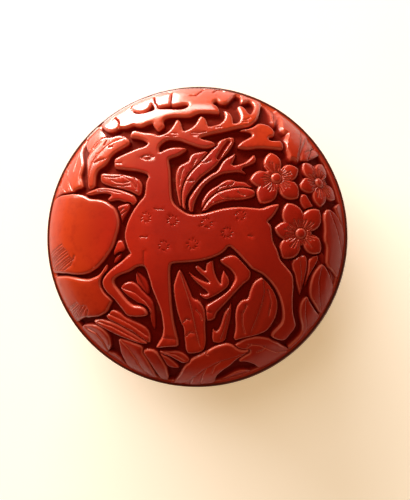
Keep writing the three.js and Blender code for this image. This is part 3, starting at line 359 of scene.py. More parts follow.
# Lines cut in with a fine gouge: depth and half width in mm, then the strokes
fineLines = {
    "cloud": (1.1, 0.26, [
        [-503, 703, -490, 720, -465, 697, -455, 676, -458, 655], [-137, 775, -138, 838, -145, 880,
        -170, 880], [-17, 842, 12, 842, 40, 872, 55, 915, 55, 945, 37, 960], [112, 865, 130, 895, 165, 895,
        180, 880], [-390, 777, -385, 800], [-213, 772, -235, 800, -250, 845],
    ]),
    "deer": (0.2, 0.15, [
        [-462, 410, -415, 405], [-268, -120, -270, -165, -268, -210], [-205, 122, -155, 118], [-290, -37,
        -250, -40], [330, -37, 355, -39], [-167, -622, -95, -630], [0, 580, 45, 577, 85, 585], [5, 566,
        40, 565], [135, 613, 175, 617], [290, 664, 320, 670, 340, 682], [300, 652, 330, 656], [-120, 583,
        -85, 575], [-155, 566, -125, 558, -90, 560], [80, -470, 120, -478],
    ]),
    "leftLeaf": (0.22, 0.17, [
        [-838, 512, -800, 421, -779, 338, -740, 264], [-924, 415, -879, 354, -814, 290, -779, 254],
        [-942, 391, -937, 348, -838, 264], [-714, 517, -726, 451, -742, 391],
    ]),
    "peachStrokes": (0.26, 0.15, [
        [-977, -134, -802, -64], [-972, -153, -798, -81], [-968, -177, -781, -88], [-934, -185, -772, -96],
        [-898, -191, -759, -110], [-874, -199, -750, -125], [-853, -208, -736, -141], [-834, -213,
        -726, -149], [-814, -216, -719, -158],
    ]),
    "peachCrease": (0.32, 0.18, [
        [-791, -220, -735, -190, -704, -136], [-640, -460, -655, -515],
    ]),
    "secondStrokes": (0.17, 0.13, [
        [-803, -462, -714, -419], [-814, -489, -706, -424], [-831, -520, -695, -434], [-829, -542,
        -682, -436], [-798, -544, -671, -438], [-767, -542, -659, -434], [-736, -537, -649, -439],
        [-709, -525, -645, -445],
    ]),
}


def smooth(t):
    t = np.clip(t, 0, 1)
    return t * t * (3 - 2 * t)


cornerCut = 0.25
# Near the rim an outline moves out a little, so that the leaves run into the border; shares of the arc
rimPush = {"from": 0.8, "over": 0.13, "amount": 0.085, "least": 0.985, "most": 0.996}


def outline(values, soften=2):
    # Points of the plan, with each corner cut back twice so that the line runs as a gouge would
    points = np.array(values, float).reshape(-1, 2) / planScale
    for _ in range(soften):
        following = np.roll(points, -1, 0)
        cut = [points * (1 - share) + following * share for share in (cornerCut, 1 - cornerCut)]
        points = np.stack(cut, 1).reshape(-1, 2)
    share = np.hypot(*points.T)
    pushed = share * (1 + rimPush["amount"] * smooth((share - rimPush["from"]) / rimPush["over"]))
    pushed = np.minimum(np.minimum(pushed, np.maximum(share, rimPush["least"])), rimPush["most"])
    return points * (pushed / np.maximum(share, nearNothing))[:, None]


# How a motif is cut, in mm; each fade is where it starts, as a share of the arc, and over how much more
cutting = {
    "moat": 0.7, "moatSlope": 0.3, "moatFade": (0.95, 0.03), "wall": 0.34, "wallFoot": 0.08,
    "chamfer": 0.36, "chamferReach": 0.5, "chamferCurve": 1.15, "chamferFade": (0.9, 0.06),
    "roll": (0.0, 2.0), "fold": 0.24, "foldReach": 2.2, "farSide": 0.05, "rib": 0.26, "ribWidth": 0.2,
    "tick": (0.3, 0.17), "grooveFloor": 0.3,
}
bladeShape = {
    "steps": 19, "margin": 0.04, "lean": 0.85, "blunt": 0.8, "valley": 0.5, "valleyCurve": 1.2,
    "farSide": 0.75, "tilt": 0.14, "rib": 0.12, "ribWidth": 0.2,
}


def faded(share, key):
    start, over = cutting[key]
    return smooth((share - start) / over)


class Board:
    # The carving in plan: a square raster of heights in mm, 0 on the dome and less where it is cut away
    half = 1.02  # half the raster's width, as a share of the arc
    reach = 0.07  # how far out the distance to an outline is counted
    far = 9.0  # more than any distance on the board

    def __init__(self, pixels, arc, depth):
        self.pixels, self.arc, self.depth = pixels, arc, depth
        self.axis = np.linspace(-self.half, self.half, pixels)
        self.height = np.full((pixels, pixels), -depth)

    def patch(self, points, margin=0.05):
        # The part of the raster that a motif and a margin take up
        low, high = points.min(0) - margin, points.max(0) + margin
        columns = slice(*np.searchsorted(self.axis, [low[0], high[0]]))
        rows = slice(*np.searchsorted(self.axis, [low[1], high[1]]))
        x, y = np.meshgrid(self.axis[columns], self.axis[rows])
        return (rows, columns), x, y

    def outlineDistance(self, points, x, y, closed=True):
        # Distance to an outline in mm, positive inside, counted only near it
        xs, ys = x[0], y[:, 0]
        near = np.full(x.shape, self.reach ** 2)
        inside = np.zeros(x.shape, bool)
        for a, b in zip(points, np.roll(points, -1, 0) if closed else points[1:]):
            edge = b - a
            if edge @ edge < nearNothing ** 2:
                continue
            c = np.searchsorted(xs, [min(a[0], b[0]) - self.reach, max(a[0], b[0]) + self.reach])
            r = np.searchsorted(ys, [min(a[1], b[1]) - self.reach, max(a[1], b[1]) + self.reach])
            part = np.s_[r[0]:r[1], c[0]:c[1]]
            px, py = x[part] - a[0], y[part] - a[1]
            t = np.clip((px * edge[0] + py * edge[1]) / (edge @ edge), 0, 1)
            near[part] = np.minimum(near[part], (px - t * edge[0]) ** 2 + (py - t * edge[1]) ** 2)
            if closed and edge[1] != 0:
                r = np.searchsorted(ys, sorted([a[1], b[1]]))
                crossing = a[0] + (ys[r[0]:r[1], None] - a[1]) / edge[1] * edge[0]
                inside[r[0]:r[1]] ^= xs[None, :] < crossing
        distance = np.sqrt(near) * self.arc
        return np.where(inside, distance, -distance)

    def follow(self, line, x, y):
        # How far each place is from an open line, how far along it, and on which side: positive is left
        near, side, along = np.full(x.shape, self.far), np.ones(x.shape), np.zeros(x.shape)
        for i, (a, b) in enumerate(zip(line, line[1:])):
            edge = b - a
            px, py = x - a[0], y - a[1]
            t = np.clip((px * edge[0] + py * edge[1]) / (edge @ edge), 0, 1)
            away = np.hypot(px - t * edge[0], py - t * edge[1])
            closer = away < near
            near = np.where(closer, away, near)
            along = np.where(closer, (i + t) / (len(line) - 1), along)
            side = np.where(closer, edge[0] * py - edge[1] * px, side)
        return near, along, side

    def lay(self, part, distance, top, wall=cutting["wall"], moat=cutting["moat"], floor=None):
        # Cuts a moat round a motif, then raises the motif with steep walls and a chamfered edge.
        # Near the rim both fade, so that a motif runs into the border.
        old = self.height[part]
        share = np.hypot(self.axis[part[1]][None, :], self.axis[part[0]][:, None])
        floorLevel = np.minimum(old, -self.depth if floor is None else floor)
        beyond = np.maximum(smooth((-distance - moat) / cutting["moatSlope"]), faded(share, "moatFade"))
        outside = floorLevel + (old - floorLevel) * beyond
        slope = (1 - np.clip(distance / cutting["chamferReach"], 0, 1)) ** cutting["chamferCurve"]
        top = top - cutting["chamfer"] * (1 - faded(share, "chamferFade")) * slope
        self.height[part] = outside + (top - outside) * smooth((distance - cutting["wallFoot"]) / wall + 1)

    def motif(self, points, drop, roll=cutting["roll"], rib=None, ticks=(), fold=cutting["fold"], **lay):
        part, x, y = self.patch(points)
        distance = self.outlineDistance(points, x, y)
        top = -drop - roll[0] * (1 - smooth(distance / roll[1])) ** 2
        if rib is not None:
            # One half of a leaf falls towards the midrib, which is a fine cut line
            away = -self.outlineDistance(rib, x, y, closed=False)
            side = self.follow(rib, x, y)[2]
            fall = fold * (1 - smooth(away / cutting["foldReach"]))
            top = top - np.where(side > 0, fall, cutting["farSide"])
            top = top - cutting["rib"] * (1 - smooth(away / cutting["ribWidth"]))
        self.lay(part, distance, top, **lay)
        for tick in ticks:
            self.groove(tick, *cutting["tick"])

    def blade(self, leaf, **lay):
        # A plain leaf on a bent spine, hollow to both sides of its midrib
        *shape, drop = leaf
        rootX, rootY, tipX, tipY, half, bend = [value / planScale for value in shape]
        root, tip = np.array([rootX, rootY]), np.array([tipX, tipY])
        way = tip - root
        middle = (root + tip) / 2 + bend * np.array([-way[1], way[0]])
        t = np.linspace(0, 1, bladeShape["steps"])[:, None]
        spine = (1 - t) ** 2 * root + 2 * t * (1 - t) * middle + t ** 2 * tip
        part, x, y = self.patch(spine, half + bladeShape["margin"])
        near, along, side = self.follow(spine, x, y)
        side = np.sign(side)
        width = half * np.sin(np.pi * along ** bladeShape["lean"]) ** bladeShape["blunt"]
        across = np.clip(near / np.maximum(width, thinnest), 0, 1)
        valley = bladeShape["valley"] * (1 - across) ** bladeShape["valleyCurve"]
        top = -drop - valley * np.where(side > 0, 1.0, bladeShape["farSide"])
        top = top + bladeShape["tilt"] * side * across
        top = top - bladeShape["rib"] * np.exp(-(near * self.arc / bladeShape["ribWidth"]) ** 2)
        self.lay(part, (width - near) * self.arc, top, **lay)

    def groove(self, points, depth, width):
        # A cut along a line, with its depth and half width in mm
        part, x, y = self.patch(points)
        away = -self.outlineDistance(points, x, y, closed=False)
        self.height[part] -= depth * (1 - smooth(away / width - cutting["grooveFloor"]))

    def sample(self, x, y):
        # Heights between the raster's points
        scale = (self.pixels - 1) / (self.axis[-1] - self.axis[0])
        last = self.pixels - 1.001  # just inside the last cell
        u = np.clip((x - self.axis[0]) * scale, 0, last)
        v = np.clip((y - self.axis[0]) * scale, 0, last)
        i, j = v.astype(int), u.astype(int)
        fv, fu = v - i, u - j
        h = self.height
        low = h[i, j] * (1 - fu) + h[i, j + 1] * fu
        high = h[i + 1, j] * (1 - fu) + h[i + 1, j + 1] * fu
        return low * (1 - fv) + high * fv


# Petals, stamens and the heart of a blossom: places and widths in shares of the arc, heights in mm
petals = {
    "halfWidth": 0.33, "lean": 1.25, "blunt": 0.72, "start": 0.12, "steps": 16, "margin": 0.23,
    "hollow": 0.3, "hollowReach": 0.1, "bulge": 0.16, "bulgeReach": 1.8, "moat": 0.3,
}
stamens = {"count": 28, "stray": 0.25, "start": 0.034, "end": (0.065, 0.105), "depth": 0.3, "width": 0.15}
heart = {"radius": 0.031, "join": 0.07, "rise": 0.05, "slope": 4, "moat": 0.15, "floor": -1.0}


def petalOutline(centre, turn, reach):
    # An oval with a soft point, widest past its middle
    along = np.linspace(petals["start"], 1, petals["steps"])
    half = reach * petals["halfWidth"] * np.sin(np.pi * along ** petals["lean"]) ** petals["blunt"]
    out = reach * np.concatenate([along, along[-2::-1]])
    across = np.concatenate([half, -half[-2::-1]])
    c, s = math.cos(math.radians(turn)), math.sin(math.radians(turn))
    return np.stack([centre[0] + out * c - across * s, centre[1] + out * s + across * c], 1)


def layBlossom(board, blossom, random):
    centre = np.array(blossom["centre"]) / planScale
    part, x, y = board.patch(np.array([centre]), petals["margin"])
    drawn = [petalOutline(centre, turn, reach / planScale) for turn, reach in blossom["petals"]]
    spread = [board.outlineDistance(petal, x, y) for petal in drawn]
    away = np.hypot(x - centre[0], y - centre[1])
    whole = np.maximum.reduce(spread + [(heart["join"] - away) * board.arc])
    top = -blossom["drop"] - petals["hollow"] * (1 - smooth(away / petals["hollowReach"]))
    top = top - petals["bulge"] * (1 - smooth(whole / petals["bulgeReach"]))
    board.lay(part, whole, top, moat=petals["moat"])
    for i in range(stamens["count"]):
        turn = 2 * math.pi * (i + random.uniform(-stamens["stray"], stamens["stray"])) / stamens["count"]
        span = np.array([[stamens["start"]], [random.uniform(*stamens["end"])]])
        board.groove(centre + span * [math.cos(turn), math.sin(turn)], stamens["depth"], stamens["width"])
    top = -blossom["drop"] + heart["rise"] - heart["slope"] * away
    board.lay(part, (heart["radius"] - away) * board.arc, top, moat=heart["moat"], floor=heart["floor"])


# How the leaves are cut, in mm; dig is how far the moat goes below the leaf
leafCut = {"moat": 0.16, "wall": cutting["wall"], "fold": cutting["fold"]}
leafDig, scoopCut = 1.2, (0.9, 0.65)
bladeCut = {"moat": 0.35, "dig": 0.75}


def layLeaf(board, leaf):
    rib = outline(leaf["rib"], soften=0) if "rib" in leaf else None
    ticks = [outline(tick, soften=0) for tick in leaf.get("ticks", [])]
    how = {key: leaf.get(key, usual) for key, usual in leafCut.items()}
    floor = -leaf["drop"] - leafDig
    board.motif(outline(leaf["edge"], soften=1), leaf["drop"], rib=rib, ticks=ticks, floor=floor, **how)
    if "scoop" in leaf:
        board.groove(outline(leaf["scoop"], soften=0), *scoopCut)


# How far each of the other motifs lies below the dome, its rounding, and the moat cut round it
laid = {
    "farLeg": {"drop": 0.3, "roll": (0.2, 1.2), "moat": 0.8},
    "twig": {"drop": 0.4, "moat": 0.6},
    "branch": {"drop": 0.3, "moat": 0.6},
    "secondPeach": {"drop": 0.1, "roll": (0.15, 1.6), "moat": 0.4},
    "peach": {"drop": 0.0, "roll": (0.15, 1.6), "moat": 0.4},
    "anvilCloud": {"drop": 0.1},
    "mainCloud": {"drop": 0.05},
    "deer": {"drop": 0.0, "roll": (0.12, 1.0), "moat": 0.5},
}


def layClouds(board):
    board.motif(outline(anvilCloud), **laid["anvilCloud"])
    part, x, y = board.patch(outline(mainCloud, soften=0))
    cloud = board.outlineDistance(outline(mainCloud), x, y)
    for slot in cloudSlots:
        cloud = np.minimum(cloud, -board.outlineDistance(outline(slot), x, y))
    board.lay(part, cloud, np.full(x.shape, -laid["mainCloud"]["drop"]))


# Centres in thousandths of the arc, ring and dash in shares of it, depth and half width in mm
spots = {
    "centres": [-255, 73, -100, 52, 95, 37, 288, 80, 212, -20, 13, -85, -150, -92],
    "ring": 0.022, "dash": 0.011, "count": 9, "stray": 0.2, "lean": (0.2, 1.2), "depth": 0.17, "width": 0.13,
}


def laySpots(board, random):
    # Each spot on the coat is a ring of short slanting cuts
    for centre in outline(spots["centres"], soften=0):
        for i in range(spots["count"]):
            turn = 2 * math.pi * (i + random.uniform(-spots["stray"], spots["stray"])) / spots["count"]
            start = centre + spots["ring"] * np.array([math.cos(turn), math.sin(turn)])
            lean = turn + random.uniform(*spots["lean"])
            stroke = np.array([start, start + spots["dash"] * np.array([math.cos(lean), math.sin(lean)])])
            board.groove(stroke, spots["depth"], spots["width"])


# Places in shares of the arc, the depth in mm
eye = {
    "centre": (-0.258, 0.434), "length": 0.05, "height": 0.021, "depth": 0.3, "lens": 0.45,
    "margin": 0.08, "almondEdge": 3, "ballEdge": 2,
}


def layEye(board):
    # A cut almond with a ball standing in it
    part, x, y = board.patch(np.array([eye["centre"]]), eye["margin"])
    ex, ey = (x - eye["centre"][0]) / eye["length"], (y - eye["centre"][1]) / eye["height"]
    almond = 1 - np.abs(ey) - ex ** 2
    board.height[part] -= eye["depth"] * smooth(almond * eye["almondEdge"])
    ball = 1 - (ey / eye["lens"]) ** 2 - (ex / eye["lens"]) ** 2
    board.height[part] += eye["depth"] * smooth(ball * eye["ballEdge"])


seed = 7  # of the small strays in the stamens and the spots


def layLid(board):
    random = np.random.default_rng(seed)
    layBorder(board, border["lidShare"])
    for leaf in blades:
        board.blade(leaf, moat=bladeCut["moat"], floor=-leaf[-1] - bladeCut["dig"])
    board.motif(outline(farLeg), **laid["farLeg"])
    for leaf in drawnLeaves:
        layLeaf(board, leaf)
    board.motif(outline(twig, soften=1), **laid["twig"])
    board.motif(outline(branch, soften=1), **laid["branch"])
    for blossom in blossoms:
        layBlossom(board, blossom, random)
    board.motif(outline(secondPeach), **laid["secondPeach"])
    board.motif(outline(peach), **laid["peach"])
    layClouds(board)
    board.motif(outline(deer), **laid["deer"])
    for depth, width, strokes in fineLines.values():
        for stroke in strokes:
            board.groove(outline(stroke, soften=0), depth, width)
    laySpots(board, random)
    layEye(board)


# The plain edge of each carving: the share of the arc where it starts, and its level and slope in mm
border = {"lidShare": 0.992, "baseShare": 0.986, "level": -0.12, "slope": 0.4}


def layBorder(board, share):
    x, y = np.meshgrid(board.axis, board.axis)
    away = (np.hypot(x, y) - share) * board.arc
    raised = (board.depth + border["level"]) * smooth(away / border["slope"] + 0.5)
    board.height = np.maximum(board.height, -board.depth + raised)


# The bowl's leaves: two rings, the one behind first. Shift is in leaves and lean in radians, root and tip
# are shares of the arc, half width and bend are thousandths, and the rest is in mm.
ringLeaves = {
    "count": 16, "lean": 0.2, "bend": 100, "moat": 0.4, "dig": 0.8,
    "rings": [
        {"shift": 0.5, "root": 0.56, "tip": 0.99, "halfWidth": 70, "drop": 0.75},
        {"shift": 0.0, "root": 0.6, "tip": 0.965, "halfWidth": 100, "drop": 0.25},
    ],
}


def layBase(board):
    for ring in ringLeaves["rings"]:
        for i in range(ringLeaves["count"]):
            turn = 2 * math.pi * (i + ring["shift"]) / ringLeaves["count"]
            ends = [(ring["root"], turn), (ring["tip"], turn + ringLeaves["lean"])]
            leaf = [planScale * (share * way(angle)) for share, angle in ends for way in (math.cos, math.sin)]
            leaf += [ring["halfWidth"], ringLeaves["bend"], ring["drop"]]
            board.blade(leaf, moat=ringLeaves["moat"], floor=-ring["drop"] - ringLeaves["dig"])
    layBorder(board, border["baseShare"])


# Meshes
def linked(name, data):
    made = bpy.data.objects.new(name, data)
    bpy.context.scene.collection.objects.link(made)
    return made


def meshObject(name, places, faces):
    # Vertices in mm and faces of equal size, written straight into a mesh in metres
    mesh = bpy.data.meshes.new(name)
    mesh.vertices.add(len(places))
    mesh.vertices.foreach_set("co", (places * metres).astype(np.float32).ravel())
    mesh.loops.add(faces.size)
    mesh.loops.foreach_set("vertex_index", faces.astype(np.int32).ravel())
    mesh.polygons.add(len(faces))
    mesh.polygons.foreach_set("loop_start", np.arange(0, faces.size, faces.shape[1], dtype=np.int32))
    mesh.update(calc_edges=True)
    mesh.polygons.foreach_set("use_smooth", np.full(len(faces), True))
    return linked(name, mesh)


def around(radius, turn, height):
    # Places at a radius, a turn about the axis and a height
    return np.stack(np.broadcast_arrays(radius * np.cos(turn), radius * np.sin(turn), height), -1)


def quads(index):
    # Faces between the rows and columns of a grid of vertex numbers
    return np.stack([index[:-1, :-1], index[:-1, 1:], index[1:, 1:], index[1:, :-1]], -1).reshape(-1, 4)


outward, inward, upward, downward = (1, 0), (-1, 0), (0, 1), (0, -1)


def quarter(reach, height, size, start, end, steps=5):
    # A quarter circle in a profile, about its centre, from one direction to the next
    turn = np.linspace(0, np.pi / 2, steps)
    return [(reach + size * (start[0] * math.cos(t) + end[0] * math.sin(t)),
             height + size * (start[1] * math.cos(t) + end[1] * math.sin(t))) for t in turn]


def discGrid(count):
    # A square grid turned into a disc, so that its cells stay near square out to the rim
    u, v = np.meshgrid(np.linspace(-1, 1, count), np.linspace(-1, 1, count))
    wide = np.abs(u) > np.abs(v)
    radius = np.where(wide, u, v)
    with np.errstate(divide="ignore", invalid="ignore"):
        turn = np.where(wide, np.pi / 4 * v / u, np.pi / 2 - np.pi / 4 * u / v)
    turn = np.where(radius == 0, 0, turn)
    return radius * np.cos(turn), radius * np.sin(turn)


def thin(made, triangles):
    # Collapses edges where the surface is smooth, to keep the piece light
    made.data.update()
    count = sum(len(face.vertices) - 2 for face in made.data.polygons)
    if count <= triangles:
        return
    reduce = made.modifiers.new("thin", "DECIMATE")
    reduce.ratio = triangles / count
    graph = bpy.context.evaluated_depsgraph_get()
    lighter = bpy.data.meshes.new_from_object(made.evaluated_get(graph))
    made.modifiers.clear()
    made.data = lighter
    made.data.polygons.foreach_set("use_smooth", np.full(len(made.data.polygons), True))


def plainBand(low, high):
    # The band where lid and base meet, from its top edge to its bottom edge
    size = layers["bandRound"]
    top = quarter(bodyRadius - size, high - size, size, upward, outward)
    return top + quarter(bodyRadius - size, low + size, size, outward, downward)


# How fine each carving is: plan pixels, mesh cells, triangles kept, and rings of the plain inside;
# the hole is the share of the arc that is left open on the axis, for closeHole to fill
lidMesh = {"pixels": 1400, "cells": 560, "triangles": 195000, "hole": 0.02, "insideRings": 12}
baseMesh = {"pixels": 1100, "turns": 620, "rings": 90, "insideRings": 10}
# Where the bowl's carving ends by the foot: the gap, and the level, start and slope of the plain edge
footGap = {"gap": 0.4, "level": -0.1, "start": 0.8, "slope": 0.6}


def carvedLid(board):
    cells = lidMesh["cells"]
    x, y = discGrid(cells)
    share, turn = np.hypot(x, y), np.arctan2(y, x)
    reach, height = dome.at(dome.angleAt(np.minimum(share, 1)), board.sample(x, y))
    top = around(reach, turn, height).reshape(-1, 3)
    grid = np.arange(cells * cells).reshape(cells, cells)
    rim = np.concatenate([grid[0, :-1], grid[:-1, -1], grid[-1, :0:-1], grid[:0:-1, 0]])
    wall = float(dome.at(dome.edgeAngle, skinInside)[0])
    profile = plainBand(lidMouth, lidBandTop) + [(wall, lidMouth)]
    profile += dome.run(dome.edgeAngle, dome.angleAt(lidMesh["hole"]), skinInside, lidMesh["insideRings"])
    rimTurn = turn.reshape(-1)[rim]
    places = np.concatenate([top] + [around(r, rimTurn, z) for r, z in profile])
    rings = len(top) + np.arange(len(profile) * len(rim)).reshape(len(profile), -1)
    rings = np.concatenate([[rim], rings])
    sides = quads(np.concatenate([rings, rings[:, :1]], 1))[:, [0, 3, 2, 1]]
    made = meshObject("lidCarving", places, np.concatenate([quads(grid), sides]))
    closeHole(made, rings[-1])
    return made


def closeHole(made, ring):
    # Fills the small opening left on the axis inside the lid
    mesh = made.data
    start = len(mesh.loops)
    mesh.loops.add(len(ring))
    loops = np.zeros(len(mesh.loops), np.int32)
    mesh.loops.foreach_get("vertex_index", loops)
    loops[start:] = ring
    mesh.loops.foreach_set("vertex_index", loops)
    mesh.polygons.add(1)
    mesh.polygons[-1].loop_start = start
    mesh.update(calc_edges=True)


def carvedBase(board):
    turns, steps = baseMesh["turns"], baseMesh["rings"]
    innerEdge = boxOf("foot_ring")[1][0] + footGap["gap"]
    angle = np.linspace(bowl.angleAtRadius(innerEdge, 0), bowl.edgeAngle, steps)
    arc = bowl.arcAt(angle)
    turn = np.linspace(0, 2 * np.pi, turns, endpoint=False)
    shares, turnsGrid = np.meshgrid(arc / bowl.arc, turn, indexing="ij")
    cut = board.sample(shares * np.cos(turnsGrid), shares * np.sin(turnsGrid))
    edge = smooth((arc - arc[0]) / footGap["slope"] - footGap["start"])[:, None]
    cut = cut * edge + footGap["level"] * (1 - edge)
    reach, height = bowl.at(np.repeat(angle[:, None], turns, 1), cut)
    outer = around(reach, turnsGrid, height).reshape(-1, 3)
    wall = float(bowl.at(bowl.edgeAngle, skinInside)[0])
    back = plainBand(baseBandBottom, jointHeight)[::-1] + [(wall, jointHeight)]
    last = bowl.angleAtRadius(innerEdge, skinInside)
    back += bowl.run(bowl.edgeAngle, last, skinInside, baseMesh["insideRings"])
    places = np.concatenate([outer] + [around(r, turn, z) for r, z in back])
    count = steps + len(back)
    index = np.concatenate([np.arange(count * turns).reshape(count, turns), np.arange(turns)[None, :]])
    return meshObject("baseCarving", places, quads(np.concatenate([index, index[:, :1]], 1)))


def turned(name, profile, segments=160):
    # A profile of (radius, height) turned about the axis: closed, or with a pole where a radius is 0
    turn = np.linspace(0, 2 * np.pi, segments, endpoint=False)
    places, rings = [], []
    for radius, height in profile:
        if radius < nearNothing:
            rings.append(np.full(segments, len(places)))
            places.append((0.0, 0.0, height))
        else:
            rings.append(len(places) + np.arange(segments))
            places += [(radius * math.cos(t), radius * math.sin(t), height) for t in turn]
    if profile[0][0] > nearNothing:
        rings.append(rings[0])
    faces = []
    for low, high in zip(rings, rings[1:]):
        for i in range(segments):
            j = (i + 1) % segments
            corners = [low[i], low[j], high[j], high[i]]
            faces.append(list(dict.fromkeys(int(c) for c in corners)))
    mesh = bpy.data.meshes.new(name)
    mesh.from_pydata([tuple(v * metres for v in p) for p in places], [], faces)
    mesh.polygons.foreach_set("use_smooth", np.full(len(mesh.polygons), True))
    return linked(name, mesh)


# Pieces
collarLow, collarHigh = boxOf("base_collar")
# The black linings: the room over the collar, and the small cut edges at the mouth
linings = {"overCollar": 0.5, "outerEdge": 0.05, "lidInnerEdge": 0.15, "baseInnerEdge": 0.1}


def coreRadius(form):
    return float(form.at(form.edgeAngle, skinInside)[0]) - layers["bond"]


def makeLining(name, form, mouth, ledge, radius, bore, innerEdge):
    # Along the outside from the pole, round the mouth with its lip over the core, and back inside
    def inside(height, distance):
        return height + form.up * distance

    core, outerEdge = coreRadius(form), linings["outerEdge"]
    outer = skinInside - layers["bond"] * 2 - layers["core"]
    inner = outer - layers["lining"]
    top, lip = inside(ledge, layers["lining"]), inside(mouth, layers["lip"])
    profile = form.run(0, form.angleAtHeight(top, outer), outer)
    profile += [(radius, top), (radius, lip), (core, lip), (core, inside(mouth, outerEdge))]
    profile += [(core - outerEdge, mouth), (bore + innerEdge, mouth)]
    profile += [(bore, inside(mouth, innerEdge)), (bore, ledge)]
    return turned(name, profile + form.run(form.angleAtHeight(ledge, inner), 0, inner))


def makeLidLining():
    radius = coreRadius(dome) - layers["core"] - layers["bond"]
    ledge = collarHigh[2] + linings["overCollar"]
    edge = linings["lidInnerEdge"]
    return makeLining("lidLining", dome, lidMouth, ledge, radius, radius - layers["lining"], edge)


def makeBaseLining():
    bore = collarHigh[0] + layers["bond"]
    ledge = collarLow[2] - layers["bond"]
    edge = linings["baseInnerEdge"]
    return makeLining("baseLining", bowl, jointHeight, ledge, bore + layers["lining"], bore, edge)


collarShape = {"wall": 1.5, "round": 0.4}


def makeCollar():
    outer, low, high, size = collarHigh[0], collarLow[2], collarHigh[2], collarShape["round"]
    bore = outer - collarShape["wall"]
    profile = [(bore, low), (outer, low)]
    profile += quarter(outer - size, high - size, size, outward, upward)
    profile += quarter(bore + size, high - size, size, upward, inward)
    return turned("collarRing", profile)


footShape = {"width": 3.0, "taper": 0.4, "round": 0.3, "topEdge": (0.05, 0.2), "topIn": 0.25}


def makeFoot():
    low, high = boxOf("foot_ring")
    outer, top, size = high[0], high[2], footShape["round"]
    bore, reach = outer - footShape["width"], outer - footShape["taper"]
    profile = quarter(bore + size, size, size, inward, downward)
    profile += quarter(reach - size, size, size, downward, outward)
    profile += [(outer - footShape["topEdge"][0], top - footShape["topEdge"][1])]
    profile += [(outer - footShape["topIn"], top), (bore, top)]
    return turned("footRing", profile)


discShape = {"radius": 18.8, "edge": 0.1}


def makeUnderside():
    low, high = boxOf("base_underside")
    radius, edge = discShape["radius"], discShape["edge"]
    profile = [(0, low[2]), (radius / 2, low[2]), (radius - edge, low[2]), (radius, low[2] + edge)]
    return turned("footDisc", profile + [(radius, high[2]), (0, high[2])])


lidBoard = Board(lidMesh["pixels"], dome.arc, layers["reliefDepth"])
layLid(lidBoard)
print("stage: lid picture carved")
baseBoard = Board(baseMesh["pixels"], bowl.arc, layers["reliefDepth"])
layBase(baseBoard)
print("stage: base leaves carved")

lidCarving = carvedLid(lidBoard)
thin(lidCarving, lidMesh["triangles"])
baseCarving = carvedBase(baseBoard)
print("stage: skins made", len(lidCarving.data.polygons), len(baseCarving.data.polygons))

lidLining, baseLining = makeLidLining(), makeBaseLining()
collarRing, footRing, footDisc = makeCollar(), makeFoot(), makeUnderside()
for piece, body, node, slot in [
    (lidCarving, "lid", "lid_carved_lacquer", "carved_red_lacquer"),
    (lidLining, "lid", "lid_lining", "black_lacquer"),
    (baseCarving, "base", "base_carved_lacquer", "carved_red_lacquer"),
    (baseLining, "base", "base_lining", "black_lacquer"),
    (collarRing, "base", "base_collar", "black_lacquer"),
    (footRing, "base", "foot_ring", "black_lacquer"),
    (footDisc, "base", "base_underside", "black_lacquer"),
]:
    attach(piece, body)
    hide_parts(node)
print("stage: turned pieces made")


# Finishes
def paint(red, green, blue):
    # Linear colour from the 0 to 255 values that a screen shows
    values = [value / 255 for value in (red, green, blue)]
    return tuple(v / 12.92 if v < 0.04045 else ((v + 0.055) / 1.055) ** 2.4 for v in values) + (1.0,)


class Field:
    # A value that changes over a surface; sums and products of fields add Math nodes
    def __init__(self, finish, socket):
        self.finish, self.socket = finish, socket

    def maths(self, operation, *values):
        return self.finish.node("ShaderNodeMath", {"operation": operation}, dict(enumerate(values)))

    def __add__(self, other):
        return self.maths("ADD", self, other)

    def __sub__(self, other):
        return self.maths("SUBTRACT", self, other)

    def __rsub__(self, other):
        return self.maths("SUBTRACT", other, self)

    def __mul__(self, other):
        return self.maths("MULTIPLY", self, other)

    def __truediv__(self, other):
        return self.maths("DIVIDE", self, other)

    def __rtruediv__(self, other):
        return self.maths("DIVIDE", other, self)

    __radd__, __rmul__ = __add__, __mul__

    def root(self):
        return self.maths("SQRT", self)

    def ranged(self, least, more):
        # From the least value where the field is 0, by more where it is 1
        return least + self * more

    def step(self, low, high):
        # 0 below low, 1 above high, and a soft slope between
        inputs = {"Value": self, "From Min": low, "From Max": high}
        return self.finish.node("ShaderNodeMapRange", {"interpolation_type": "SMOOTHSTEP"}, inputs)


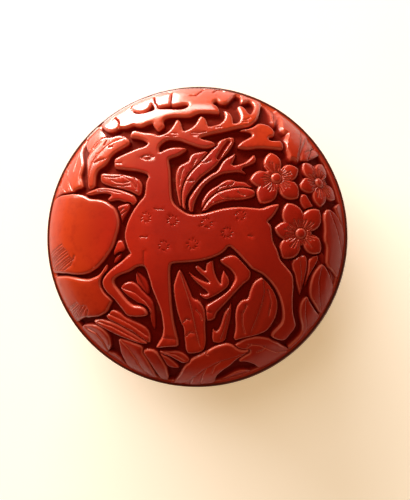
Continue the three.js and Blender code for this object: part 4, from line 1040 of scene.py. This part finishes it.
class Finish:
    def __init__(self, name, sockets):
        self.material = bpy.data.materials.new(name)
        self.material.use_nodes = True
        self.tree = self.material.node_tree
        self.shader = next(n for n in self.tree.nodes if n.type == "BSDF_PRINCIPLED")
        for name, value in sockets.items():
            self.shader.inputs[name].default_value = value

    def node(self, kind, settings=None, inputs=None, output=0):
        made = self.tree.nodes.new(kind)
        for name, value in (settings or {}).items():
            setattr(made, name, value)
        for name, value in (inputs or {}).items():
            self.feed(made.inputs[name], value)
        return Field(self, made.outputs[output])

    def feed(self, socket, value):
        if isinstance(value, Field):
            self.tree.links.new(value.socket, socket)
        else:
            socket.default_value = value

    def place(self):
        return self.node("ShaderNodeTexCoord", output="Object")

    def split(self, vector):
        made = self.node("ShaderNodeSeparateXYZ", None, {0: vector}).socket.node
        return [Field(self, output) for output in made.outputs]

    def noise(self, scale, detail=3, roughness=0.55, stretch=None):
        spot = self.place()
        if stretch:
            spot = self.node("ShaderNodeVectorMath", {"operation": "MULTIPLY"}, {0: spot, 1: stretch})
        inputs = {"Vector": spot, "Scale": scale, "Detail": detail, "Roughness": roughness}
        return self.node("ShaderNodeTexNoise", None, inputs)

    def mix(self, factor, first, second):
        # Inputs 6 and 7 and output 2 are the Mix node's colours
        settings = {"data_type": "RGBA", "blend_type": "MIX"}
        return self.node("ShaderNodeMix", settings, {0: factor, 6: first, 7: second}, 2)

    def bump(self, height, strength, distance):
        inputs = {"Height": height, "Strength": strength, "Distance": distance}
        self.give("Normal", self.node("ShaderNodeBump", None, inputs))

    def give(self, socket, value):
        self.feed(self.shader.inputs[socket], value)


def carvedFields(finish, form):
    # Depth below the uncut dome in mm, how steeply the carving is cut, the distance from the axis,
    # and how far a place lies towards the window and towards the top of the picture
    x, y, z = [value * (1 / metres) for value in finish.split(finish.place())]
    nx, ny, nz = finish.split(finish.node("ShaderNodeTexCoord", output="Normal"))
    reach = (x * x + y * y).root()
    outwards, upwards = (nx * x + ny * y) / reach, nz * form.up
    rise = (z - form.edgeHeight) * form.up
    out, over, lift = reach - form.centre, rise - form.level, rise - form.crownLevel
    fromCrown = (reach * reach + lift * lift).root()
    fromShoulder = (out * out + over * over).root()
    fromSeam = out * math.cos(form.crownAngle) - over * math.sin(form.crownAngle)
    onShoulder = fromSeam.step(*redLacquer["arcSeam"])
    depth = (form.crown - fromCrown) * (1 - onShoulder) + (form.shoulder - fromShoulder) * onShoulder
    level = (outwards * reach + upwards * lift) / fromCrown * (1 - onShoulder)
    level = level + (outwards * out + upwards * over) / fromShoulder * onShoulder
    toWindow = redLacquer["toWindow"]
    return depth, 1 - level, reach, y * toWindow[1] + x * toWindow[0], y


# Colours are 0 to 255. A pair named Depth, Reach, Inward or Across says in mm where an effect starts and
# where it is full; Steps and Steepness say so from 0 to 1. A Share is how much of it shows, and an Amount
# is the least of it and what is added to that. A Noise is its scale, detail and roughness.
redLacquer = {
    "sockets": {"Coat Roughness": 0.2, "IOR": 1.48, "Specular IOR Level": 0.27}, "gloss": (255, 180, 96),
    # outer is the lighter orange of the shoulder, laid on as painted window light
    "top": (154, 19, 10), "warm": (178, 32, 14), "outer": (196, 60, 18), "deep": (136, 13, 9),
    # wall and ground are darker reds, used as painted shade in the cuts
    "edge": (228, 114, 86), "wall": (132, 15, 8), "ground": (102, 6, 4), "dust": (150, 90, 62),
    "rim": (86, 22, 14), "toWindow": (-0.64, 0.77), "arcSeam": (-0.01, 0.01),
    "broadNoise": (45, 2), "fineNoise": (420, 4, 0.6), "grainNoise": (2600, 3, 0.6),
    "warmSteps": (0.35, 0.7), "outerReach": (18, 35), "windowLightAcross": (-12, 16), "windowLightAmount": (0.15, 0.7),
    "deepSteps": (0.45, 0.75), "deepShare": 0.35,
    "edgeSteepness": (0.05, 0.3), "edgeDepth": (0.5, 1.0), "edgeInward": (0.7, 0.4),
    "edgeAmount": (0.7, 0.6), "edgeShare": 0.47, "wallShadeDepth": (0.6, 1.1), "groundShadeDepth": (1.0, 1.5),
    "dustDepth": (0.7, 1.5), "dustSteps": (0.58, 0.72), "dustShare": 0.12, "rimInward": (0.2, 0.05),
    "coatAcross": (4, 24), "coatSteepness": (0.04, 0.14), "coatAmount": (0.3, 0.7),
    "coatDepth": (0.5, 1.2), "coatShare": 0.72,
    "roughAmount": (0.35, 0.1), "roughDepth": (0.6, 1.3), "roughShare": 0.5,
    "grainShare": 0.35, "bump": (0.18, 0.0001),
}


def carvedFinish(name, form):
    red = redLacquer
    finish = Finish(name, red["sockets"])
    finish.shader.inputs["Specular Tint"].default_value = paint(*red["gloss"])
    depth, steep, reach, towardWindow, north = carvedFields(finish, form)
    broad, fine, grain = [finish.noise(*red[key]) for key in ("broadNoise", "fineNoise", "grainNoise")]

    def nearEdge(key):
        return reach.step(*[edgeRadius - inwards for inwards in red[key]])

    # Painted window light: the shoulder gets a faint lighter orange tint all round, and much more of it on
    # the side towards the window lamp
    shoulderTintAndWindowLight = reach.step(*red["outerReach"]) * towardWindow.step(*red["windowLightAcross"]).ranged(*red["windowLightAmount"])
    # The cut edges are painted pale, partly as wear and partly as a painted highlight along them, but not
    # along the plain band
    wearAndEdgeHighlight = steep.step(*red["edgeSteepness"]) * (1 - depth.step(*red["edgeDepth"]))
    wearAndEdgeHighlight = wearAndEdgeHighlight * (1 - nearEdge("edgeInward")) * fine.ranged(*red["edgeAmount"]) * red["edgeShare"]
    dusty = depth.step(*red["dustDepth"]) * fine.step(*red["dustSteps"]) * red["dustShare"]
    colour = paint(*red["top"])
    for share, key in [
        (broad.step(*red["warmSteps"]), "warm"),
        (shoulderTintAndWindowLight, "outer"),
        (fine.step(*red["deepSteps"]) * red["deepShare"], "deep"),
        (wearAndEdgeHighlight, "edge"),
        # Painted shade: the deeper the cut, the darker the colour, first on its walls and then on its ground
        (depth.step(*red["wallShadeDepth"]), "wall"),
        (depth.step(*red["groundShadeDepth"]), "ground"),
        (dusty, "dust"),
        # The plain band at the rim is painted dark: partly a darker lacquer band, partly painted shade along
        # the rim
        (nearEdge("rimInward"), "rim"),
    ]:
        colour = finish.mix(share, colour, paint(*red[key]))
    finish.give("Base Color", colour)
    # Handling has dulled the flat tops, but not the edges or the cloud at the top of the picture
    polished = north.step(*red["coatAcross"])
    kept = (polished + (1 - polished) * steep.step(*red["coatSteepness"])).ranged(*red["coatAmount"])
    finish.give("Coat Weight", (1 - depth.step(*red["coatDepth"])) * kept * red["coatShare"])
    rough = depth.step(*red["roughDepth"]) * red["roughShare"]
    finish.give("Roughness", fine.ranged(*red["roughAmount"]) + rough)
    finish.bump(grain * red["grainShare"] + fine, *red["bump"])
    return finish.material


blackLacquer = {
    "sockets": {"Coat Weight": 0.6, "Coat Roughness": 0.08, "IOR": 1.5},
    "dark": (24, 18, 16), "brown": (44, 26, 20), "brownSteps": (0.4, 0.75),
    "broadNoise": (60, 3), "fineNoise": (900, 4, 0.6),
    "roughAmount": (0.2, 0.18), "broadShare": 2, "bump": (0.15, 0.0001),
}


def blackFinish():
    black = blackLacquer
    finish = Finish("blackLacquer", black["sockets"])
    broad, fine = finish.noise(*black["broadNoise"]), finish.noise(*black["fineNoise"])
    patches = broad.step(*black["brownSteps"])
    finish.give("Base Color", finish.mix(patches, paint(*black["dark"]), paint(*black["brown"])))
    finish.give("Roughness", fine.ranged(*black["roughAmount"]))
    finish.bump(fine + broad * black["broadShare"], *black["bump"])
    return finish.material


turnedWood = {
    "sockets": {"IOR": 1.45}, "dark": (120, 84, 50), "pale": (168, 130, 84), "paleSteps": (0.3, 0.7),
    "streakNoise": (220, 5, 0.65, (1.0, 0.12, 1.0)), "roughAmount": (0.6, 0.2), "bump": (0.3, 0.0002),
}


def woodFinish():
    finish = Finish("turnedWood", turnedWood["sockets"])
    streak = finish.noise(*turnedWood["streakNoise"])
    pale = streak.step(*turnedWood["paleSteps"])
    finish.give("Base Color", finish.mix(pale, paint(*turnedWood["dark"]), paint(*turnedWood["pale"])))
    finish.give("Roughness", streak.ranged(*turnedWood["roughAmount"]))
    finish.bump(streak, *turnedWood["bump"])
    return finish.material


lidCarving.data.materials.append(carvedFinish("lidRedLacquer", dome))
baseCarving.data.materials.append(carvedFinish("baseRedLacquer", bowl))
black, wood = blackFinish(), woodFinish()
for piece in (lidLining, baseLining, collarRing, footRing, footDisc):
    piece.data.materials.append(black)
for name in ("lid_core", "base_core"):
    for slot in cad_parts[name].material_slots:
        slot.material = wood
print("stage: finishes made")


# Floor, light and camera
stage = {
    "sockets": {"Specular IOR Level": 0.2, "Emission Strength": 1}, "halfWidth": 3.0,
    "floor": (250, 246, 242), "floorPatch": (238, 232, 222), "patchNoise": (30, 2), "patchShare": 0.3,
    "roughAmount": (0.8, 0.1), "glow": (172, 150, 113), "room": (255, 214, 176), "roomStrength": 0.1,
}


def setFloor():
    half = stage["halfWidth"]
    corners = [(-half, -half, 0), (half, -half, 0), (half, half, 0), (-half, half, 0)]
    mesh = bpy.data.meshes.new("tableTop")
    mesh.from_pydata(corners, [], [(0, 1, 2, 3)])
    floor = linked("tableTop", mesh)
    finish = Finish("palePaper", stage["sockets"])
    patch = finish.noise(*stage["patchNoise"])
    patched = patch * stage["patchShare"]
    finish.give("Base Color", finish.mix(patched, paint(*stage["floor"]), paint(*stage["floorPatch"])))
    finish.give("Roughness", patch.ranged(*stage["roughAmount"]))
    # The pale backdrop is its own glow, which only the eye and reflections see
    kinds = ("Is Camera Ray", "Is Glossy Ray", "Is Transmission Ray")
    rays = [finish.node("ShaderNodeLightPath", output=kind) for kind in kinds]
    seen = rays[0].maths("MAXIMUM", rays[0], rays[1]).maths("MAXIMUM", rays[0], rays[2])
    finish.give("Emission Color", finish.mix(seen, paint(0, 0, 0), paint(*stage["glow"])))
    mesh.materials.append(finish.material)


def setWorld():
    world = bpy.data.worlds.new("room")
    bpy.context.scene.world = world
    world.use_nodes = True
    background = next(n for n in world.node_tree.nodes if n.type == "BACKGROUND")
    background.inputs["Color"].default_value = paint(*stage["room"])
    background.inputs["Strength"].default_value = stage["roomStrength"]


def aimed(made, place, target, up=Vector((0, 0, 1))):
    # Turns a lamp or camera at a place to look at a target
    back = (Vector(place) - Vector(target)).normalized()
    side = up.cross(back).normalized()
    above = back.cross(side)
    turn = made.matrix_world.to_3x3()
    for row in range(3):
        turn[row] = (side[row], above[row], back[row])
    made.matrix_world = turn.to_4x4()
    made.location = place


# Each lamp: where it stands (turn and height in degrees, distance in m), its size in m, watts and colour
lamps = {
    "window": {"turn": 119, "height": 20, "distance": 0.8, "size": (1.0, 0.2), "watts": 13.6,
               "colour": (255, 252, 246)},
    "card": {"turn": 116, "height": 4, "distance": 0.075, "size": (0.045, 0.05), "watts": 0.15,
             "colour": (255, 252, 250), "diffuse": False},
    "sky": {"turn": 119, "height": 65, "distance": 1.0, "size": (0.7, 0.7), "watts": 2.4,
            "colour": (250, 250, 255), "gloss": False},
    "fill": {"turn": -50, "height": 78, "distance": 1.0, "size": (1.5, 1.5), "watts": 3.7,
             "colour": (255, 216, 170), "gloss": False},
}
lampTarget = Vector((0, 0, 0.02))


def setLamp(name, lamp):
    light = bpy.data.lights.new(name, "AREA")
    light.shape = "RECTANGLE"
    light.size, light.size_y = lamp["size"]
    light.energy, light.color = lamp["watts"], paint(*lamp["colour"])[:3]
    made = linked(name, light)
    turn, rise = math.radians(lamp["turn"]), math.radians(lamp["height"])
    way = Vector((math.cos(turn) * math.cos(rise), math.sin(turn) * math.cos(rise), math.sin(rise)))
    aimed(made, lampTarget + way * lamp["distance"], lampTarget)
    made.visible_camera = False
    made.visible_diffuse = lamp.get("diffuse", True)
    made.visible_glossy = lamp.get("gloss", True)


# The photograph's view: metres, degrees and pixels
view = {
    "distance": 0.4, "tilt": 8.0, "toward": -45.0, "focus": 0.0261, "focalPixels": 1597.42,
    "seenAt": (194.97, 234.49), "frame": (410, 500), "sensor": 36.0, "clip": (0.01, 10),
}


def setCamera():
    tilt, toward = math.radians(view["tilt"]), math.radians(view["toward"])
    back = Vector((math.sin(tilt) * math.cos(toward), math.sin(tilt) * math.sin(toward), math.cos(tilt)))
    target = Vector((0, 0, view["focus"]))
    lens = bpy.data.cameras.new("camera")
    longSide = max(view["frame"])
    lens.sensor_width = view["sensor"]
    lens.lens = view["focalPixels"] * view["sensor"] / longSide
    lens.shift_x = (view["frame"][0] / 2 - view["seenAt"][0]) / longSide
    lens.shift_y = -(view["frame"][1] / 2 - view["seenAt"][1]) / longSide
    lens.clip_start, lens.clip_end = view["clip"]
    camera = linked("camera", lens)
    aimed(camera, target + back * view["distance"], target, Vector((0, 1, 0)))
    bpy.context.scene.camera = camera


setFloor()
setWorld()
for name, lamp in lamps.items():
    setLamp(name, lamp)
setCamera()
bpy.context.scene.view_settings.view_transform = "Standard"
print("stage: floor, light and camera set")

bpy.context.view_layer.update()
